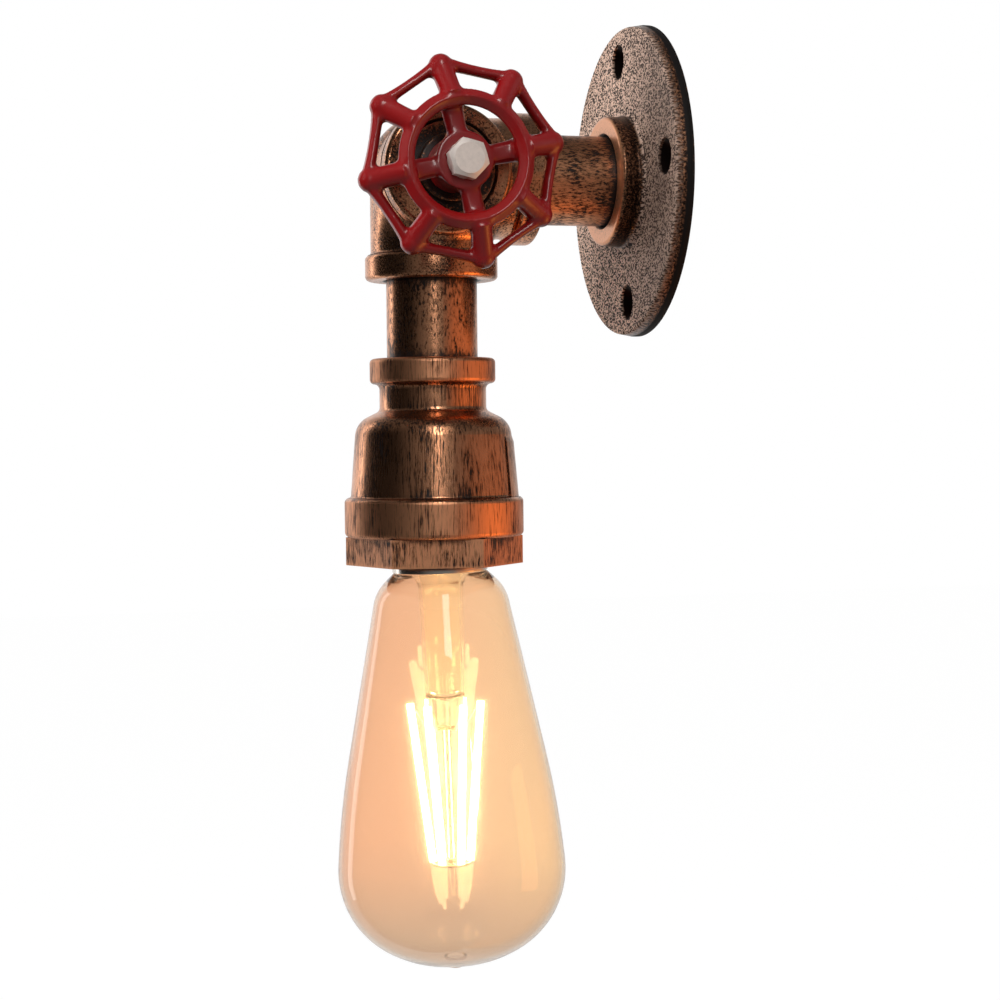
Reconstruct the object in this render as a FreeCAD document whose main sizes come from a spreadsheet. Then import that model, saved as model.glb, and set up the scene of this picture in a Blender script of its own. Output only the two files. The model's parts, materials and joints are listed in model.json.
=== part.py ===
import FreeCAD, Part
import Sketcher
import math
import os

from FreeCAD import Placement, Rotation, Vector

# Industrial wall light made of threaded pipe fittings.
# Frame: origin at the centre of the wall flange's back face, +Z up, the wall
# fills +Y, the arm reaches out along -Y, and the hand wheel faces +X.
# All lengths are millimetres and all angles degrees.

SIZES = {
    # pipe and threads
    "pipe_radius": 13.0,
    "pipe_bore_radius": 10.1,
    "pipe_end_chamfer": 0.8,
    "thread_gap": 0.05,
    "thread_engagement": 12.0,
    "thread_runout": 0.2,
    # where the fittings stand
    "arm_length": 63.2,
    "drop_gap": 22.2,
    # wall flange
    "flange_radius": 45.2,
    "flange_face_radius": 44.5,
    "flange_thickness": 5.1,
    "flange_rim_round": 0.7,
    "hub_radius": 18.8,
    "hub_length": 6.4,
    "hub_root_round": 1.8,
    "hub_edge_round": 1.2,
    "hub_mouth_chamfer": 0.9,
    "nipple_setback": 1.5,
    "screw_circle_radius": 35.5,
    "screw_hole_radius": 3.1,
    "screw_head_radius": 5.2,
    "screw_head_straight": 0.6,
    "screw_head_depth": 2.9,
    "screw_hole_turn": 4.8,
    "screw_hole_count": 4,
    # side outlet elbow
    "elbow_reach": 29.5,
    "side_reach": 22.0,
    "elbow_body_radius": 17.3,
    "elbow_heart_radius": 18.1,
    "elbow_band_radius": 18.95,
    "elbow_band_width": 7.2,
    "side_band_radius": 18.2,
    "side_band_width": 6.0,
    "band_edge_round": 1.3,
    "band_foot_round": 0.9,
    "elbow_crotch_radius": 20.0,
    "elbow_crotch_inset": 0.06,
    "elbow_pocket_radius": 11.0,
    # gland bush in the side outlet
    "bush_length": 12.0,
    "bush_nose_radius": 9.5,
    "bush_nose_length": 3.0,
    "bush_nose_round": 0.8,
    # spindle
    "spindle_radius": 6.0,
    "spindle_running_gap": 0.05,
    "spindle_head_radius": 8.5,
    "spindle_head_thickness": 2.6,
    "spindle_square": 9.0,
    "square_gap": 0.05,
    "washer_float": 0.05,
    "thrust_washer_thickness": 0.6,
    # hand wheel
    "wheel_stand_off": 0.3,
    "wheel_shoulder_depth": 1.2,
    "wheel_hub_length": 13.3,
    "wheel_hub_radius": 8.0,
    "wheel_hub_back_radius": 7.4,
    "wheel_hub_round": 1.2,
    "wheel_web": 2.0,
    "wheel_ring_radius": 16.6,
    "wheel_ring_width": 4.2,
    "wheel_ring_depth": 4.8,
    "wheel_ring_round": 1.9,
    "wheel_ring_rise": 1.5,
    "wheel_spoke_width": 4.9,
    "wheel_spoke_depth": 3.4,
    "wheel_spoke_round": 1.1,
    "wheel_spoke_drop": 2.1,
    "wheel_arm_root_radius": 2.6,
    "wheel_arm_tip_radius": 3.1,
    "wheel_knuckle_radius": 3.5,
    "wheel_node_radius": 26.3,
    "wheel_waist_radius": 24.0,
    "wheel_rim_drop": 3.6,
    "wheel_rim_width": 2.2,
    "wheel_rim_depth": 4.0,
    "wheel_rim_round": 1.0,
    "wheel_turn": 12.5,
    "wheel_node_count": 8,
    "wheel_spoke_count": 4,
    # wheel bolt and its spring washer
    "bolt_radius": 3.0,
    "bolt_gap": 0.03,
    "bolt_hole_gap": 0.2,
    "bolt_across_flats": 10.0,
    "bolt_head_height": 4.0,
    "bolt_head_chamfer": 0.45,
    "bolt_reach": 12.0,
    "spring_washer_radius": 5.1,
    "spring_washer_thickness": 0.9,
    "spring_washer_slit": 0.8,
    # bell reducer
    "reducer_length": 50.9,
    "collar_radius": 18.0,
    "collar_height": 7.2,
    "collar_round": 1.3,
    "neck_radius": 15.3,
    "neck_round": 1.6,
    "shoulder_start": 14.85,
    "shoulder_edge": 18.27,
    "bell_top_radius": 22.15,
    "bell_base_radius": 23.85,
    "shoulder_round": 6.4,
    "mouth_radius": 25.65,
    "mouth_height": 11.3,
    "mouth_round": 1.5,
    "mouth_foot_round": 0.7,
    "bell_chamber_radius": 17.9,
    "bell_chamber_height": 7.3,
    "bell_cone_height": 7.4,
    "rib_rise": 0.6,
    "rib_root_cover": 0.5,
    "rib_head_fall": 1.8,
    "rib_angle": 26.0,
    "rib_turn": 50.0,
    "rib_top": 22.2,
    # hexagon bush
    "hex_corner_radius": 25.42,
    "hex_height": 8.0,
    "hex_turn": 18.0,
    "hex_edge_chamfer": 0.5,
    "bush_thread_radius": 21.0,
    "bush_thread_length": 17.5,
    "bush_bore_radius": 17.8,
    # lamp holder
    "gasket_thickness": 1.0,
    "gasket_inner_radius": 18.0,
    "gasket_outer_radius": 20.7,
    "holder_side_play": 1.1,
    "holder_radius": 16.3,
    "holder_upper_radius": 15.8,
    "holder_bore_radius": 14.3,
    "holder_flange_radius": 19.7,
    "holder_flange_thickness": 3.0,
    "holder_skirt_length": 25.3,
    "holder_web_bottom": 0.6,
    "holder_web_thickness": 2.5,
    "holder_height": 9.1,
    "holder_chamber_radius": 13.9,
    "holder_edge_round": 0.5,
    "driver_notch_width": 5.0,
    "driver_notch_depth": 5.2,
    "shell_thickness": 0.4,
    "shell_lip_radius": 11.0,
    "shell_length": 24.6,
    "shell_gap": 0.08,
    "tongue_width": 5.0,
    "tongue_thickness": 0.5,
    "tongue_foot_end": 9.8,
    "tongue_drop": 2.15,
    "terminal_centre": 9.6,
    "terminal_length": 6.6,
    "terminal_width": 6.0,
    "terminal_height": 5.0,
    "lead_hole_radius": 1.25,
    "terminal_screw_radius": 1.25,
    "terminal_screw_length": 4.2,
    "terminal_screw_head_radius": 2.1,
    "terminal_screw_head_height": 1.6,
    "terminal_screw_gap": 0.03,
    "live_rivet_place": 7.6,
    "neutral_rivet_place": 12.3,
    "rivet_radius": 1.0,
    "rivet_head_radius": 1.4,
    "rivet_head_thickness": 0.5,
    "rivet_gap": 0.03,
    # earth ring and leads
    "earth_ring_thickness": 0.6,
    "earth_ring_inner_radius": 17.2,
    "earth_ring_outer_radius": 20.9,
    "earth_tab_width": 3.4,
    "earth_tab_reach": 13.6,
    "earth_tab_clearance": 0.2,
    "lead_radius": 1.0,
    "core_radius": 0.5,
    "core_length": 3.2,
    "lead_spacing": 3.0,
    "lead_drop": 7.0,
    "lead_bend_radius": 6.0,
    "lead_fan_radius": 4.0,
    "lead_fan_rise": 6.5,
    "lead_end_gap": 0.3,
    "lead_throat_rise": 15.0,
    "earth_lead_rise": 6.7,
    "earth_lead_foot": 2.2,
    "earth_lead_bend": 2.5,
    # bulb
    "bulb_lean": 1.7,
    "bulb_side_play": 1.5,
    "bulb_rim_below_hex": 2.1,
    "cap_radius": 13.0,
    "cap_rim_radius": 13.7,
    "cap_rim_height": 2.4,
    "cap_wall": 0.5,
    "cap_height": 20.6,
    "cap_top_radius": 10.2,
    "cap_top_height": 22.0,
    "insulator_tip_radius": 5.2,
    "insulator_height": 2.6,
    "contact_radius": 4.6,
    "contact_height": 1.7,
    "glass_wall": 0.9,
    "glass_neck_radius": 12.3,
    "glass_neck_depth": 6.0,
    "glass_shoulder_radius": 18.79,
    "glass_shoulder_drop": 5.3,
    "glass_shoulder_round": 12.0,
    "glass_waist_radius": 31.35,
    "glass_waist_drop": 67.5,
    "glass_waist_round": 250.0,
    "glass_belly_radius": 34.24,
    "glass_belly_drop": 101.4,
    "glass_belly_round": 26.0,
    "glass_floor_radius": 11.6,
    "glass_floor_drop": 112.9,
    "glass_floor_round": 26.9,
    "glass_tip_radius": 5.6,
    "glass_tip_drop": 2.0,
    # inside the bulb
    "stem_radius": 6.4,
    "stem_end_radius": 5.6,
    "stem_wall": 0.9,
    "stem_length": 36.0,
    "stem_flare_radius": 11.2,
    "stem_flare_height": 4.0,
    "pinch_width": 10.4,
    "pinch_thickness": 3.6,
    "pinch_length": 8.6,
    "filament_radius": 1.1,
    "filament_count": 6,
    "filament_top_spread": 10.2,
    "filament_top_drop": 38.0,
    "filament_foot_spread": 5.4,
    "filament_foot_drop": 84.0,
    "support_wire_radius": 0.35,
    "anchor_post_radius": 0.9,
    "anchor_post_drop": 86.0,
    "board_radius": 9.5,
    "board_thickness": 1.2,
    "board_height": 9.0,
    "capacitor_radius": 3.2,
    "capacitor_height": 6.0,
}

doc = FreeCAD.newDocument("PipeWallLight")
sizes = doc.addObject("Spreadsheet::Sheet", "Sizes")
for row, (word, number) in enumerate(SIZES.items(), start=1):
    sizes.set("A%d" % row, word)
    sizes.set("B%d" % row, str(number))
    sizes.setAlias("B%d" % row, word)
doc.recompute()


def of_sheet(expression):
    """Put the sheet's name before each size named in an expression."""
    words = []
    word = ""
    for letter in expression + " ":
        if letter.isalnum() or letter == "_":
            word += letter
        else:
            words.append("Sizes." + word if word in SIZES else word)
            words.append(letter)
            word = ""
    return "".join(words).strip()


def value(expression):
    """The number that an expression in the sheet's sizes comes to."""
    return float(sizes.evalExpression(of_sheet(expression)))


# Reference levels along the drop (global Z) and along the spindle (global X)
REDUCER_TOP = "-(elbow_reach + drop_gap)"
HEX_TOP = "(%s - reducer_length)" % REDUCER_TOP
HEX_BOTTOM = "(%s - hex_height)" % HEX_TOP
BUSH_END = "(%s + bush_thread_length)" % HEX_TOP
HOLDER_SEAT = "(%s + gasket_thickness)" % BUSH_END
BULB_RIM = "(%s - bulb_rim_below_hex)" % HEX_BOTTOM
NOSE_FACE = "(side_reach + bush_nose_length)"
WHEEL_BACK = "(%s + wheel_stand_off)" % NOSE_FACE
WHEEL_FACE = "(%s + wheel_hub_length)" % WHEEL_BACK
SPINDLE_SHOULDER = "(%s + wheel_shoulder_depth)" % WHEEL_BACK
SPINDLE_END = "(%s - wheel_web - 0.1)" % WHEEL_FACE
THREAD_BORE = "(pipe_radius + thread_gap)"

TURN_TO = {
    "up": "create(<<rotation>>; create(<<vector>>; 0; 0; 1); 0)",
    "out": "create(<<rotation>>; create(<<vector>>; 1; 0; 0); 90)",
    "side": "create(<<rotation>>; create(<<vector>>; 0; 1; 0); 90)",
}

parts = []


# ---------------------------------------------------------------- helpers

def place(thing, along="up", x="0", y="0", z="0", turn="0", lean="0"):
    """Point the piece's own Z axis up, out of the wall or to the side, and move it."""
    spot = "create(<<vector>>; %s; %s; %s)" % (of_sheet(x), of_sheet(y), of_sheet(z))
    turned = "create(<<rotation>>; create(<<vector>>; 0; 0; 1); %s)" % of_sheet(turn)
    leaned = "create(<<rotation>>; create(<<vector>>; 1; 0; 0); %s)" % of_sheet(lean)
    thing.setExpression(
        "Placement", "create(<<placement>>; %s; %s * %s * %s)" % (spot, leaned, TURN_TO[along], turned)
    )


def keep(thing, name):
    """List a finished piece under the name of its file."""
    thing.Label = name
    parts.append(thing)
    return thing


def new_body(name):
    body = doc.addObject("PartDesign::Body", "Body_" + name)
    return keep(body, name)


def role(body, name):
    """One of the body's own origin planes or axes."""
    return [feature for feature in body.Origin.OriginFeatures if feature.Role == name][0]


def new_sketch(body, plane, shift=None, turn=None):
    """A sketch on one of the body's origin planes, raised by shift and turned by turn."""
    sketch = body.newObject("Sketcher::SketchObject", body.Name + "_sketch")
    sketch.AttachmentSupport = [(role(body, plane), "")]
    sketch.MapMode = "FlatFace"
    if turn is not None:
        sketch.AttachmentOffset = Placement(Vector(), Rotation(Vector(0, 1, 0), value(turn)))
        sketch.setExpression("AttachmentOffset.Rotation.Angle", of_sheet(turn))
    if shift is not None:
        sketch.setExpression("AttachmentOffset.Base.z", of_sheet(shift))
    return sketch


def bind(sketch, kind, places, expression):
    """Add a dimension to the sketch and bind it to the sheet."""
    index = sketch.addConstraint(Sketcher.Constraint(kind, *places, value(expression)))
    sketch.setExpression("Constraints[%d]" % index, of_sheet(expression))


def add_outline(sketch, corners):
    """Draw a closed outline. Each corner is (x, y) or (x, y, round), all expressions."""
    points = [Vector(value(corner[0]), value(corner[1]), 0) for corner in corners]
    rounds = [value(corner[2]) if len(corner) > 2 else 0.0 for corner in corners]
    count = len(points)
    ahead = [(points[(i + 1) % count] - points[i]).normalize() for i in range(count)]
    arrive, leave, arcs = list(points), list(points), [None] * count
    for i in range(count):
        if rounds[i] <= 0:
            continue
        before, after = ahead[i - 1], ahead[i]
        side = 1 if before.x * after.y - before.y * after.x > 0 else -1
        reach = rounds[i] * math.tan(before.getAngle(after) / 2)
        arrive[i] = points[i] - before * reach
        leave[i] = points[i] + after * reach
        centre = arrive[i] + Vector(-before.y, before.x, 0) * (side * rounds[i])
        first, last = (arrive[i], leave[i]) if side > 0 else (leave[i], arrive[i])
        start = math.atan2(first.y - centre.y, first.x - centre.x)
        stop = math.atan2(last.y - centre.y, last.x - centre.x)
        circle = Part.Circle(centre, Vector(0, 0, 1), rounds[i])
        arcs[i] = (Part.ArcOfCircle(circle, start, stop), side)
    lines = [
        sketch.addGeometry(Part.LineSegment(leave[i], arrive[(i + 1) % count]), False)
        for i in range(count)
    ]
    for i in range(count):
        before, after = lines[i - 1], lines[i]
        if arcs[i] is None:
            sketch.addConstraint(Sketcher.Constraint("Coincident", before, 2, after, 1))
            bind(sketch, "DistanceX", (-1, 1, after, 1), corners[i][0])
            bind(sketch, "DistanceY", (-1, 1, after, 1), corners[i][1])
            continue
        shape, side = arcs[i]
        arc = sketch.addGeometry(shape, False)
        first_end, last_end = (1, 2) if side > 0 else (2, 1)
        tip = sketch.addGeometry(Part.Point(points[i]), True)
        sketch.addConstraint(Sketcher.Constraint("Tangent", before, 2, arc, first_end))
        sketch.addConstraint(Sketcher.Constraint("Tangent", after, 1, arc, last_end))
        sketch.addConstraint(Sketcher.Constraint("PointOnObject", tip, 1, before))
        sketch.addConstraint(Sketcher.Constraint("PointOnObject", tip, 1, after))
        bind(sketch, "Radius", (arc,), corners[i][2])
        bind(sketch, "DistanceX", (-1, 1, tip, 1), corners[i][0])
        bind(sketch, "DistanceY", (-1, 1, tip, 1), corners[i][1])


def add_circle(sketch, radius, x="0", y="0"):
    circle = Part.Circle(Vector(value(x), value(y), 0), Vector(0, 0, 1), value(radius))
    index = sketch.addGeometry(circle, False)
    bind(sketch, "Radius", (index,), radius)
    if x == "0" and y == "0":
        sketch.addConstraint(Sketcher.Constraint("Coincident", index, 3, -1, 1))
    else:
        bind(sketch, "DistanceX", (-1, 1, index, 3), x)
        bind(sketch, "DistanceY", (-1, 1, index, 3), y)


def add_axis(sketch, start, end):
    """Draw a construction line to turn an outline about, and return its name."""
    ends = [Vector(value(x), value(y), 0) for x, y in (start, end)]
    line = sketch.addGeometry(Part.LineSegment(*ends), True)
    for corner, (x, y) in ((1, start), (2, end)):
        bind(sketch, "DistanceX", (-1, 1, line, corner), x)
        bind(sketch, "DistanceY", (-1, 1, line, corner), y)
    return "Axis0"


def rectangle(x_low, x_high, y_low, y_high, edge=None):
    """Corners of a rectangle, rounded where a radius is given."""
    corners = [(x_low, y_low), (x_high, y_low), (x_high, y_high), (x_low, y_high)]
    return corners if edge is None else [corner + (edge,) for corner in corners]


def hexagon(corner_radius):
    return [
        ("%s * cos(%d)" % (corner_radius, 60 * k), "%s * sin(%d)" % (corner_radius, 60 * k))
        for k in range(6)
    ]


def revolve(body, corners, kind="Revolution", plane="XZ_Plane", axis="V_Axis", angle=None, turn=None):
    """Turn an outline about a sketch axis, as a solid or as a cut."""
    sketch = new_sketch(body, plane, turn=turn)
    add_outline(sketch, corners)
    feature = body.newObject("PartDesign::" + kind, body.Name + "_" + kind)
    feature.Profile = (sketch, [""])
    feature.ReferenceAxis = (sketch, [axis])
    feature.Angle = 360
    if angle is not None:
        feature.setExpression("Angle", of_sheet(angle))
    return feature


def pad(body, sketch, length):
    feature = body.newObject("PartDesign::Pad", body.Name + "_pad")
    feature.Profile = (sketch, [""])
    feature.setExpression("Length", of_sheet(length))
    return feature


def pocket(body, sketch, depth):
    """Cut along the sketch's back side, which is down for a sketch on XY_Plane."""
    feature = body.newObject("PartDesign::Pocket", body.Name + "_pocket")
    feature.Profile = (sketch, [""])
    feature.setExpression("Length", of_sheet(depth))
    return feature


def spread(body, features, count, axis="Z_Axis"):
    """Repeat features evenly round one of the body's axes."""
    pattern = body.newObject("PartDesign::PolarPattern", body.Name + "_pattern")
    pattern.Originals = features
    pattern.Axis = (role(body, axis), [""])
    pattern.Angle = 360
    pattern.setExpression("Occurrences", of_sheet(count))
    body.Tip = pattern
    return pattern


def primitive(body, kind, bound, x="0", y="0", z="0", plane="XY_Plane", about=(0, 0, 1), angle="0"):
    """A PartDesign primitive whose sizes and place are bound to the sheet."""
    feature = body.newObject("PartDesign::" + kind, body.Name + "_" + kind)
    feature.AttachmentSupport = [(role(body, plane), "")]
    feature.MapMode = "FlatFace"
    feature.AttachmentOffset = Placement(Vector(), Rotation(Vector(*about), value(angle) or 1e-9))
    for name, expression in bound.items():
        feature.setExpression(name, of_sheet(expression))
    for name, expression in (("x", x), ("y", y), ("z", z)):
        feature.setExpression("AttachmentOffset.Base." + name, of_sheet(expression))
    if angle != "0":
        feature.setExpression("AttachmentOffset.Rotation.Angle", of_sheet(angle))
    return feature


def washer(name, inner, outer, low, high, **where):
    """A plain ring between two levels of its own axis."""
    body = new_body(name)
    revolve(body, rectangle(inner, outer, low, high))
    place(body, **where)
    return body


def pipe_nipple(name, low, high, **where):
    """A straight length of pipe with chamfered ends."""
    body = new_body(name)
    edge = "pipe_radius - pipe_end_chamfer"
    revolve(body, [
        ("pipe_bore_radius", low),
        (edge, low),
        ("pipe_radius", "%s + pipe_end_chamfer" % low),
        ("pipe_radius", "%s - pipe_end_chamfer" % high),
        (edge, high),
        ("pipe_bore_radius", high),
    ])
    place(body, **where)
    return body


# ------------------------------------------------------------ wall flange

def make_wall_flange():
    flange = new_body("wall_flange")
    face = "(flange_thickness + hub_length)"
    revolve(flange, [
        (THREAD_BORE, "0"),
        ("flange_radius", "0"),
        ("flange_radius", "1.2"),
        ("flange_face_radius", "flange_thickness", "flange_rim_round"),
        ("hub_radius", "flange_thickness", "hub_root_round"),
        ("hub_radius", face, "hub_edge_round"),
        (THREAD_BORE + " + hub_mouth_chamfer", face),
        (THREAD_BORE, face + " - hub_mouth_chamfer"),
    ])
    sketch = new_sketch(flange, "XZ_Plane", turn="screw_hole_turn")
    middle = "screw_circle_radius"
    neck = "flange_thickness - screw_head_depth - screw_head_straight"
    add_outline(sketch, [
        (middle, "-1"),
        (middle + " + screw_hole_radius", "-1"),
        (middle + " + screw_hole_radius", neck),
        (middle + " + screw_head_radius", "flange_thickness - screw_head_straight"),
        (middle + " + screw_head_radius", "flange_thickness + 1"),
        (middle, "flange_thickness + 1"),
    ])
    axis = add_axis(sketch, (middle, "-1"), (middle, "flange_thickness + 1"))
    hole = flange.newObject("PartDesign::Groove", "Flange_hole")
    hole.Profile = (sketch, [""])
    hole.ReferenceAxis = (sketch, [axis])
    hole.Angle = 360
    spread(flange, [hole], "screw_hole_count")
    place(flange, "out")


# ---------------------------------------------------- side outlet elbow

def elbow_leg(elbow, reach, band_radius, band_width, plane, axis, flip):
    """One leg of the elbow with its rolled band, turned about an origin axis."""
    sign = "-" if flip else ""
    foot = "%s(%s - %s)" % (sign, reach, band_width)
    end = "%s%s" % (sign, reach)
    corners = [
        ("0", "0"),
        ("elbow_body_radius", "0"),
        ("elbow_body_radius", foot, "band_foot_round"),
        (band_radius, foot, "band_edge_round"),
        (band_radius, end, "band_edge_round"),
        ("0", end),
    ]
    if axis == "H_Axis":
        corners = [(corner[1], corner[0]) + corner[2:] for corner in corners]
    revolve(elbow, corners, plane=plane, axis=axis)


def elbow_thread(elbow, reach, plane, axis, flip):
    """The tapped bore and the waterway of one leg."""
    sign = "-" if flip else ""
    seat = "%s(%s - thread_engagement - thread_runout)" % (sign, reach)
    mouth = "%s(%s - hub_mouth_chamfer)" % (sign, reach)
    outside = "%s(%s + 1)" % (sign, reach)
    wide = "(%s + hub_mouth_chamfer + 1)" % THREAD_BORE
    corners = [
        ("0", "0"),
        ("pipe_bore_radius", "0"),
        ("pipe_bore_radius", seat),
        (THREAD_BORE, seat),
        (THREAD_BORE, mouth),
        (wide, outside),
        ("0", outside),
    ]
    if axis == "H_Axis":
        corners = [(corner[1], corner[0]) for corner in corners]
    revolve(elbow, corners, kind="Groove", plane=plane, axis=axis)


def make_elbow():
    elbow = new_body("side_outlet_elbow")
    legs = [
        ("elbow_reach", "elbow_band_radius", "elbow_band_width", "XZ_Plane", "V_Axis", True),
        ("elbow_reach", "elbow_band_radius", "elbow_band_width", "XY_Plane", "V_Axis", False),
        ("side_reach", "side_band_radius", "side_band_width", "XY_Plane", "H_Axis", False),
    ]
    for leg in legs:
        elbow_leg(elbow, *leg)
    primitive(elbow, "AdditiveSphere", {"Radius": "elbow_heart_radius"})
    ring = {
        "Radius1": "elbow_crotch_radius",
        "Radius2": "elbow_body_radius - elbow_crotch_inset",
        "Angle3": "90",
    }
    crotch = "elbow_crotch_radius"
    primitive(elbow, "AdditiveTorus", ring, crotch, "-" + crotch, plane="YZ_Plane", angle="90")
    primitive(elbow, "AdditiveTorus", ring, crotch, "-" + crotch, plane="XZ_Plane", angle="90")
    primitive(elbow, "AdditiveTorus", ring, crotch, crotch, plane="XY_Plane", angle="180")
    for reach, band_radius, band_width, plane, axis, flip in legs:
        elbow_thread(elbow, reach, plane, axis, flip)
    primitive(elbow, "SubtractiveSphere", {"Radius": "elbow_pocket_radius"})
    place(elbow, "up", y="-arm_length")


# ------------------------------------------- spindle, bush and their washer

def on_spindle(body, turn="0"):
    place(body, "side", y="-arm_length", turn=turn)


def make_gland_bush():
    bush = new_body("gland_bush")
    bore = "(spindle_radius + spindle_running_gap)"
    revolve(bush, [
        (bore, "side_reach - bush_length"),
        ("pipe_radius", "side_reach - bush_length"),
        ("pipe_radius", "side_reach"),
        ("bush_nose_radius", "side_reach"),
        ("bush_nose_radius", NOSE_FACE, "bush_nose_round"),
        (bore, NOSE_FACE),
    ])
    on_spindle(bush)


def make_spindle():
    spindle = new_body("spindle")
    head_face = "(side_reach - bush_length - 2 * washer_float - thrust_washer_thickness)"
    revolve(spindle, [
        ("0", head_face + " - spindle_head_thickness"),
        ("spindle_head_radius", head_face + " - spindle_head_thickness", "0.6"),
        ("spindle_head_radius", head_face),
        ("spindle_radius", head_face),
        ("spindle_radius", SPINDLE_END),
        ("0", SPINDLE_END),
    ])
    flats = new_sketch(spindle, "XY_Plane", shift=SPINDLE_END)
    add_circle(flats, "spindle_radius + 1")
    half = "spindle_square / 2"
    add_outline(flats, rectangle("-" + half, half, "-" + half, half))
    pocket(spindle, flats, "%s - %s" % (SPINDLE_END, SPINDLE_SHOULDER))
    tapped = new_sketch(spindle, "XY_Plane", shift=SPINDLE_END)
    add_circle(tapped, "bolt_radius + bolt_gap")
    pocket(spindle, tapped, "bolt_reach + 1")
    on_spindle(spindle, turn="wheel_turn")


def make_thrust_washer():
    low = "side_reach - bush_length - washer_float - thrust_washer_thickness"
    high = "side_reach - bush_length - washer_float"
    body = washer("thrust_washer", "spindle_radius + 0.1", "spindle_head_radius", low, high)
    on_spindle(body)


# ------------------------------------------------------------- hand wheel

def wheel_rim_bar(wheel, rim_level):
    """One bar of the rim, turned about a far centre so that it dips between two nodes."""
    node_x = "(wheel_node_radius * cos(180 / wheel_node_count))"
    node_y = "(wheel_node_radius * sin(180 / wheel_node_count))"
    centre = "((%s ^ 2 + %s ^ 2 - wheel_waist_radius ^ 2) / (2 * (%s - wheel_waist_radius)))" % (
        node_x, node_y, node_x,
    )
    section = new_sketch(wheel, "XZ_Plane", turn="180 / wheel_node_count")
    add_outline(section, rectangle(
        "wheel_waist_radius - wheel_rim_width / 2",
        "wheel_waist_radius + wheel_rim_width / 2",
        "%s - wheel_rim_depth / 2" % rim_level,
        "%s + wheel_rim_depth / 2" % rim_level,
        "wheel_rim_round",
    ))
    bar = wheel.newObject("PartDesign::Revolution", "Wheel_rim_bar")
    bar.Profile = (section, [""])
    bar.ReferenceAxis = (section, [add_axis(section, (centre, "0"), (centre, "10"))])
    bar.Midplane = True
    bar.setExpression("Angle", of_sheet("2 * asin(%s / (%s - wheel_waist_radius))" % (node_y, centre)))
    return bar


def make_handwheel():
    wheel = new_body("handwheel")
    ring_level = "(%s + wheel_ring_rise)" % WHEEL_FACE
    spoke_level = "(%s - wheel_spoke_drop)" % WHEEL_FACE
    rim_level = "(%s - wheel_rim_drop)" % WHEEL_FACE
    revolve(wheel, [
        ("0", WHEEL_BACK),
        ("wheel_hub_back_radius", WHEEL_BACK, "wheel_hub_round"),
        ("wheel_hub_radius", WHEEL_FACE, "wheel_hub_round"),
        ("0", WHEEL_FACE),
    ])
    half_width = "wheel_ring_width / 2"
    revolve(wheel, rectangle(
        "wheel_ring_radius - " + half_width, "wheel_ring_radius + " + half_width,
        "%s - wheel_ring_depth / 2" % ring_level, "%s + wheel_ring_depth / 2" % ring_level,
        "wheel_ring_round",
    ))
    web = new_sketch(wheel, "YZ_Plane")
    add_outline(web, rectangle(
        "-wheel_spoke_width / 2", "wheel_spoke_width / 2",
        "%s - wheel_spoke_depth / 2" % spoke_level, "%s + wheel_spoke_depth / 2" % spoke_level,
        "wheel_spoke_round",
    ))
    spoke = pad(wheel, web, "wheel_ring_radius")
    spread(wheel, [spoke], "wheel_spoke_count")
    fall = "(wheel_ring_rise + wheel_rim_drop)"
    run = "(wheel_node_radius - wheel_ring_radius)"
    length = "sqrt(%s ^ 2 + %s ^ 2)" % (run, fall)

    def along_arm(distance, away, edge=None):
        """A corner measured along the slanted arm and away from its middle line."""
        x = "wheel_ring_radius + (%s * (%s) + %s * (%s)) / %s" % (run, distance, fall, away, length)
        y = "%s + (%s * (%s) - %s * (%s)) / %s" % (ring_level, run, away, fall, distance, length)
        return (x, y) if edge is None else (x, y, edge)

    arm_sketch = new_sketch(wheel, "XZ_Plane")
    add_outline(arm_sketch, [
        along_arm("0", "0"),
        along_arm(length + " + wheel_knuckle_radius", "0"),
        along_arm(length + " + wheel_knuckle_radius", "wheel_knuckle_radius", "0.9 * wheel_knuckle_radius"),
        along_arm(length + " - wheel_knuckle_radius", "wheel_arm_tip_radius", "2"),
        along_arm("0", "wheel_arm_root_radius"),
    ])
    arm = wheel.newObject("PartDesign::Revolution", "Wheel_arm")
    arm.Profile = (arm_sketch, [""])
    arm.ReferenceAxis = (arm_sketch, [add_axis(arm_sketch, along_arm("0", "0"), along_arm(length, "0"))])
    arm.Angle = 360
    bar = wheel_rim_bar(wheel, rim_level)
    spread(wheel, [arm, bar], "wheel_node_count")
    shoulder = new_sketch(wheel, "XY_Plane", shift=SPINDLE_SHOULDER)
    add_circle(shoulder, "spindle_radius + 0.1")
    pocket(wheel, shoulder, "wheel_shoulder_depth + 1")
    socket = new_sketch(wheel, "XY_Plane", shift="%s - wheel_web" % WHEEL_FACE)
    half = "(spindle_square / 2 + square_gap)"
    add_outline(socket, rectangle("-" + half, half, "-" + half, half))
    pocket(wheel, socket, "%s - wheel_web - %s" % (WHEEL_FACE, SPINDLE_SHOULDER))
    bolt_hole = new_sketch(wheel, "XY_Plane", shift="%s + 1" % WHEEL_FACE)
    add_circle(bolt_hole, "bolt_radius + bolt_hole_gap")
    pocket(wheel, bolt_hole, "wheel_web + 1.5")
    on_spindle(wheel, turn="wheel_turn")


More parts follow.
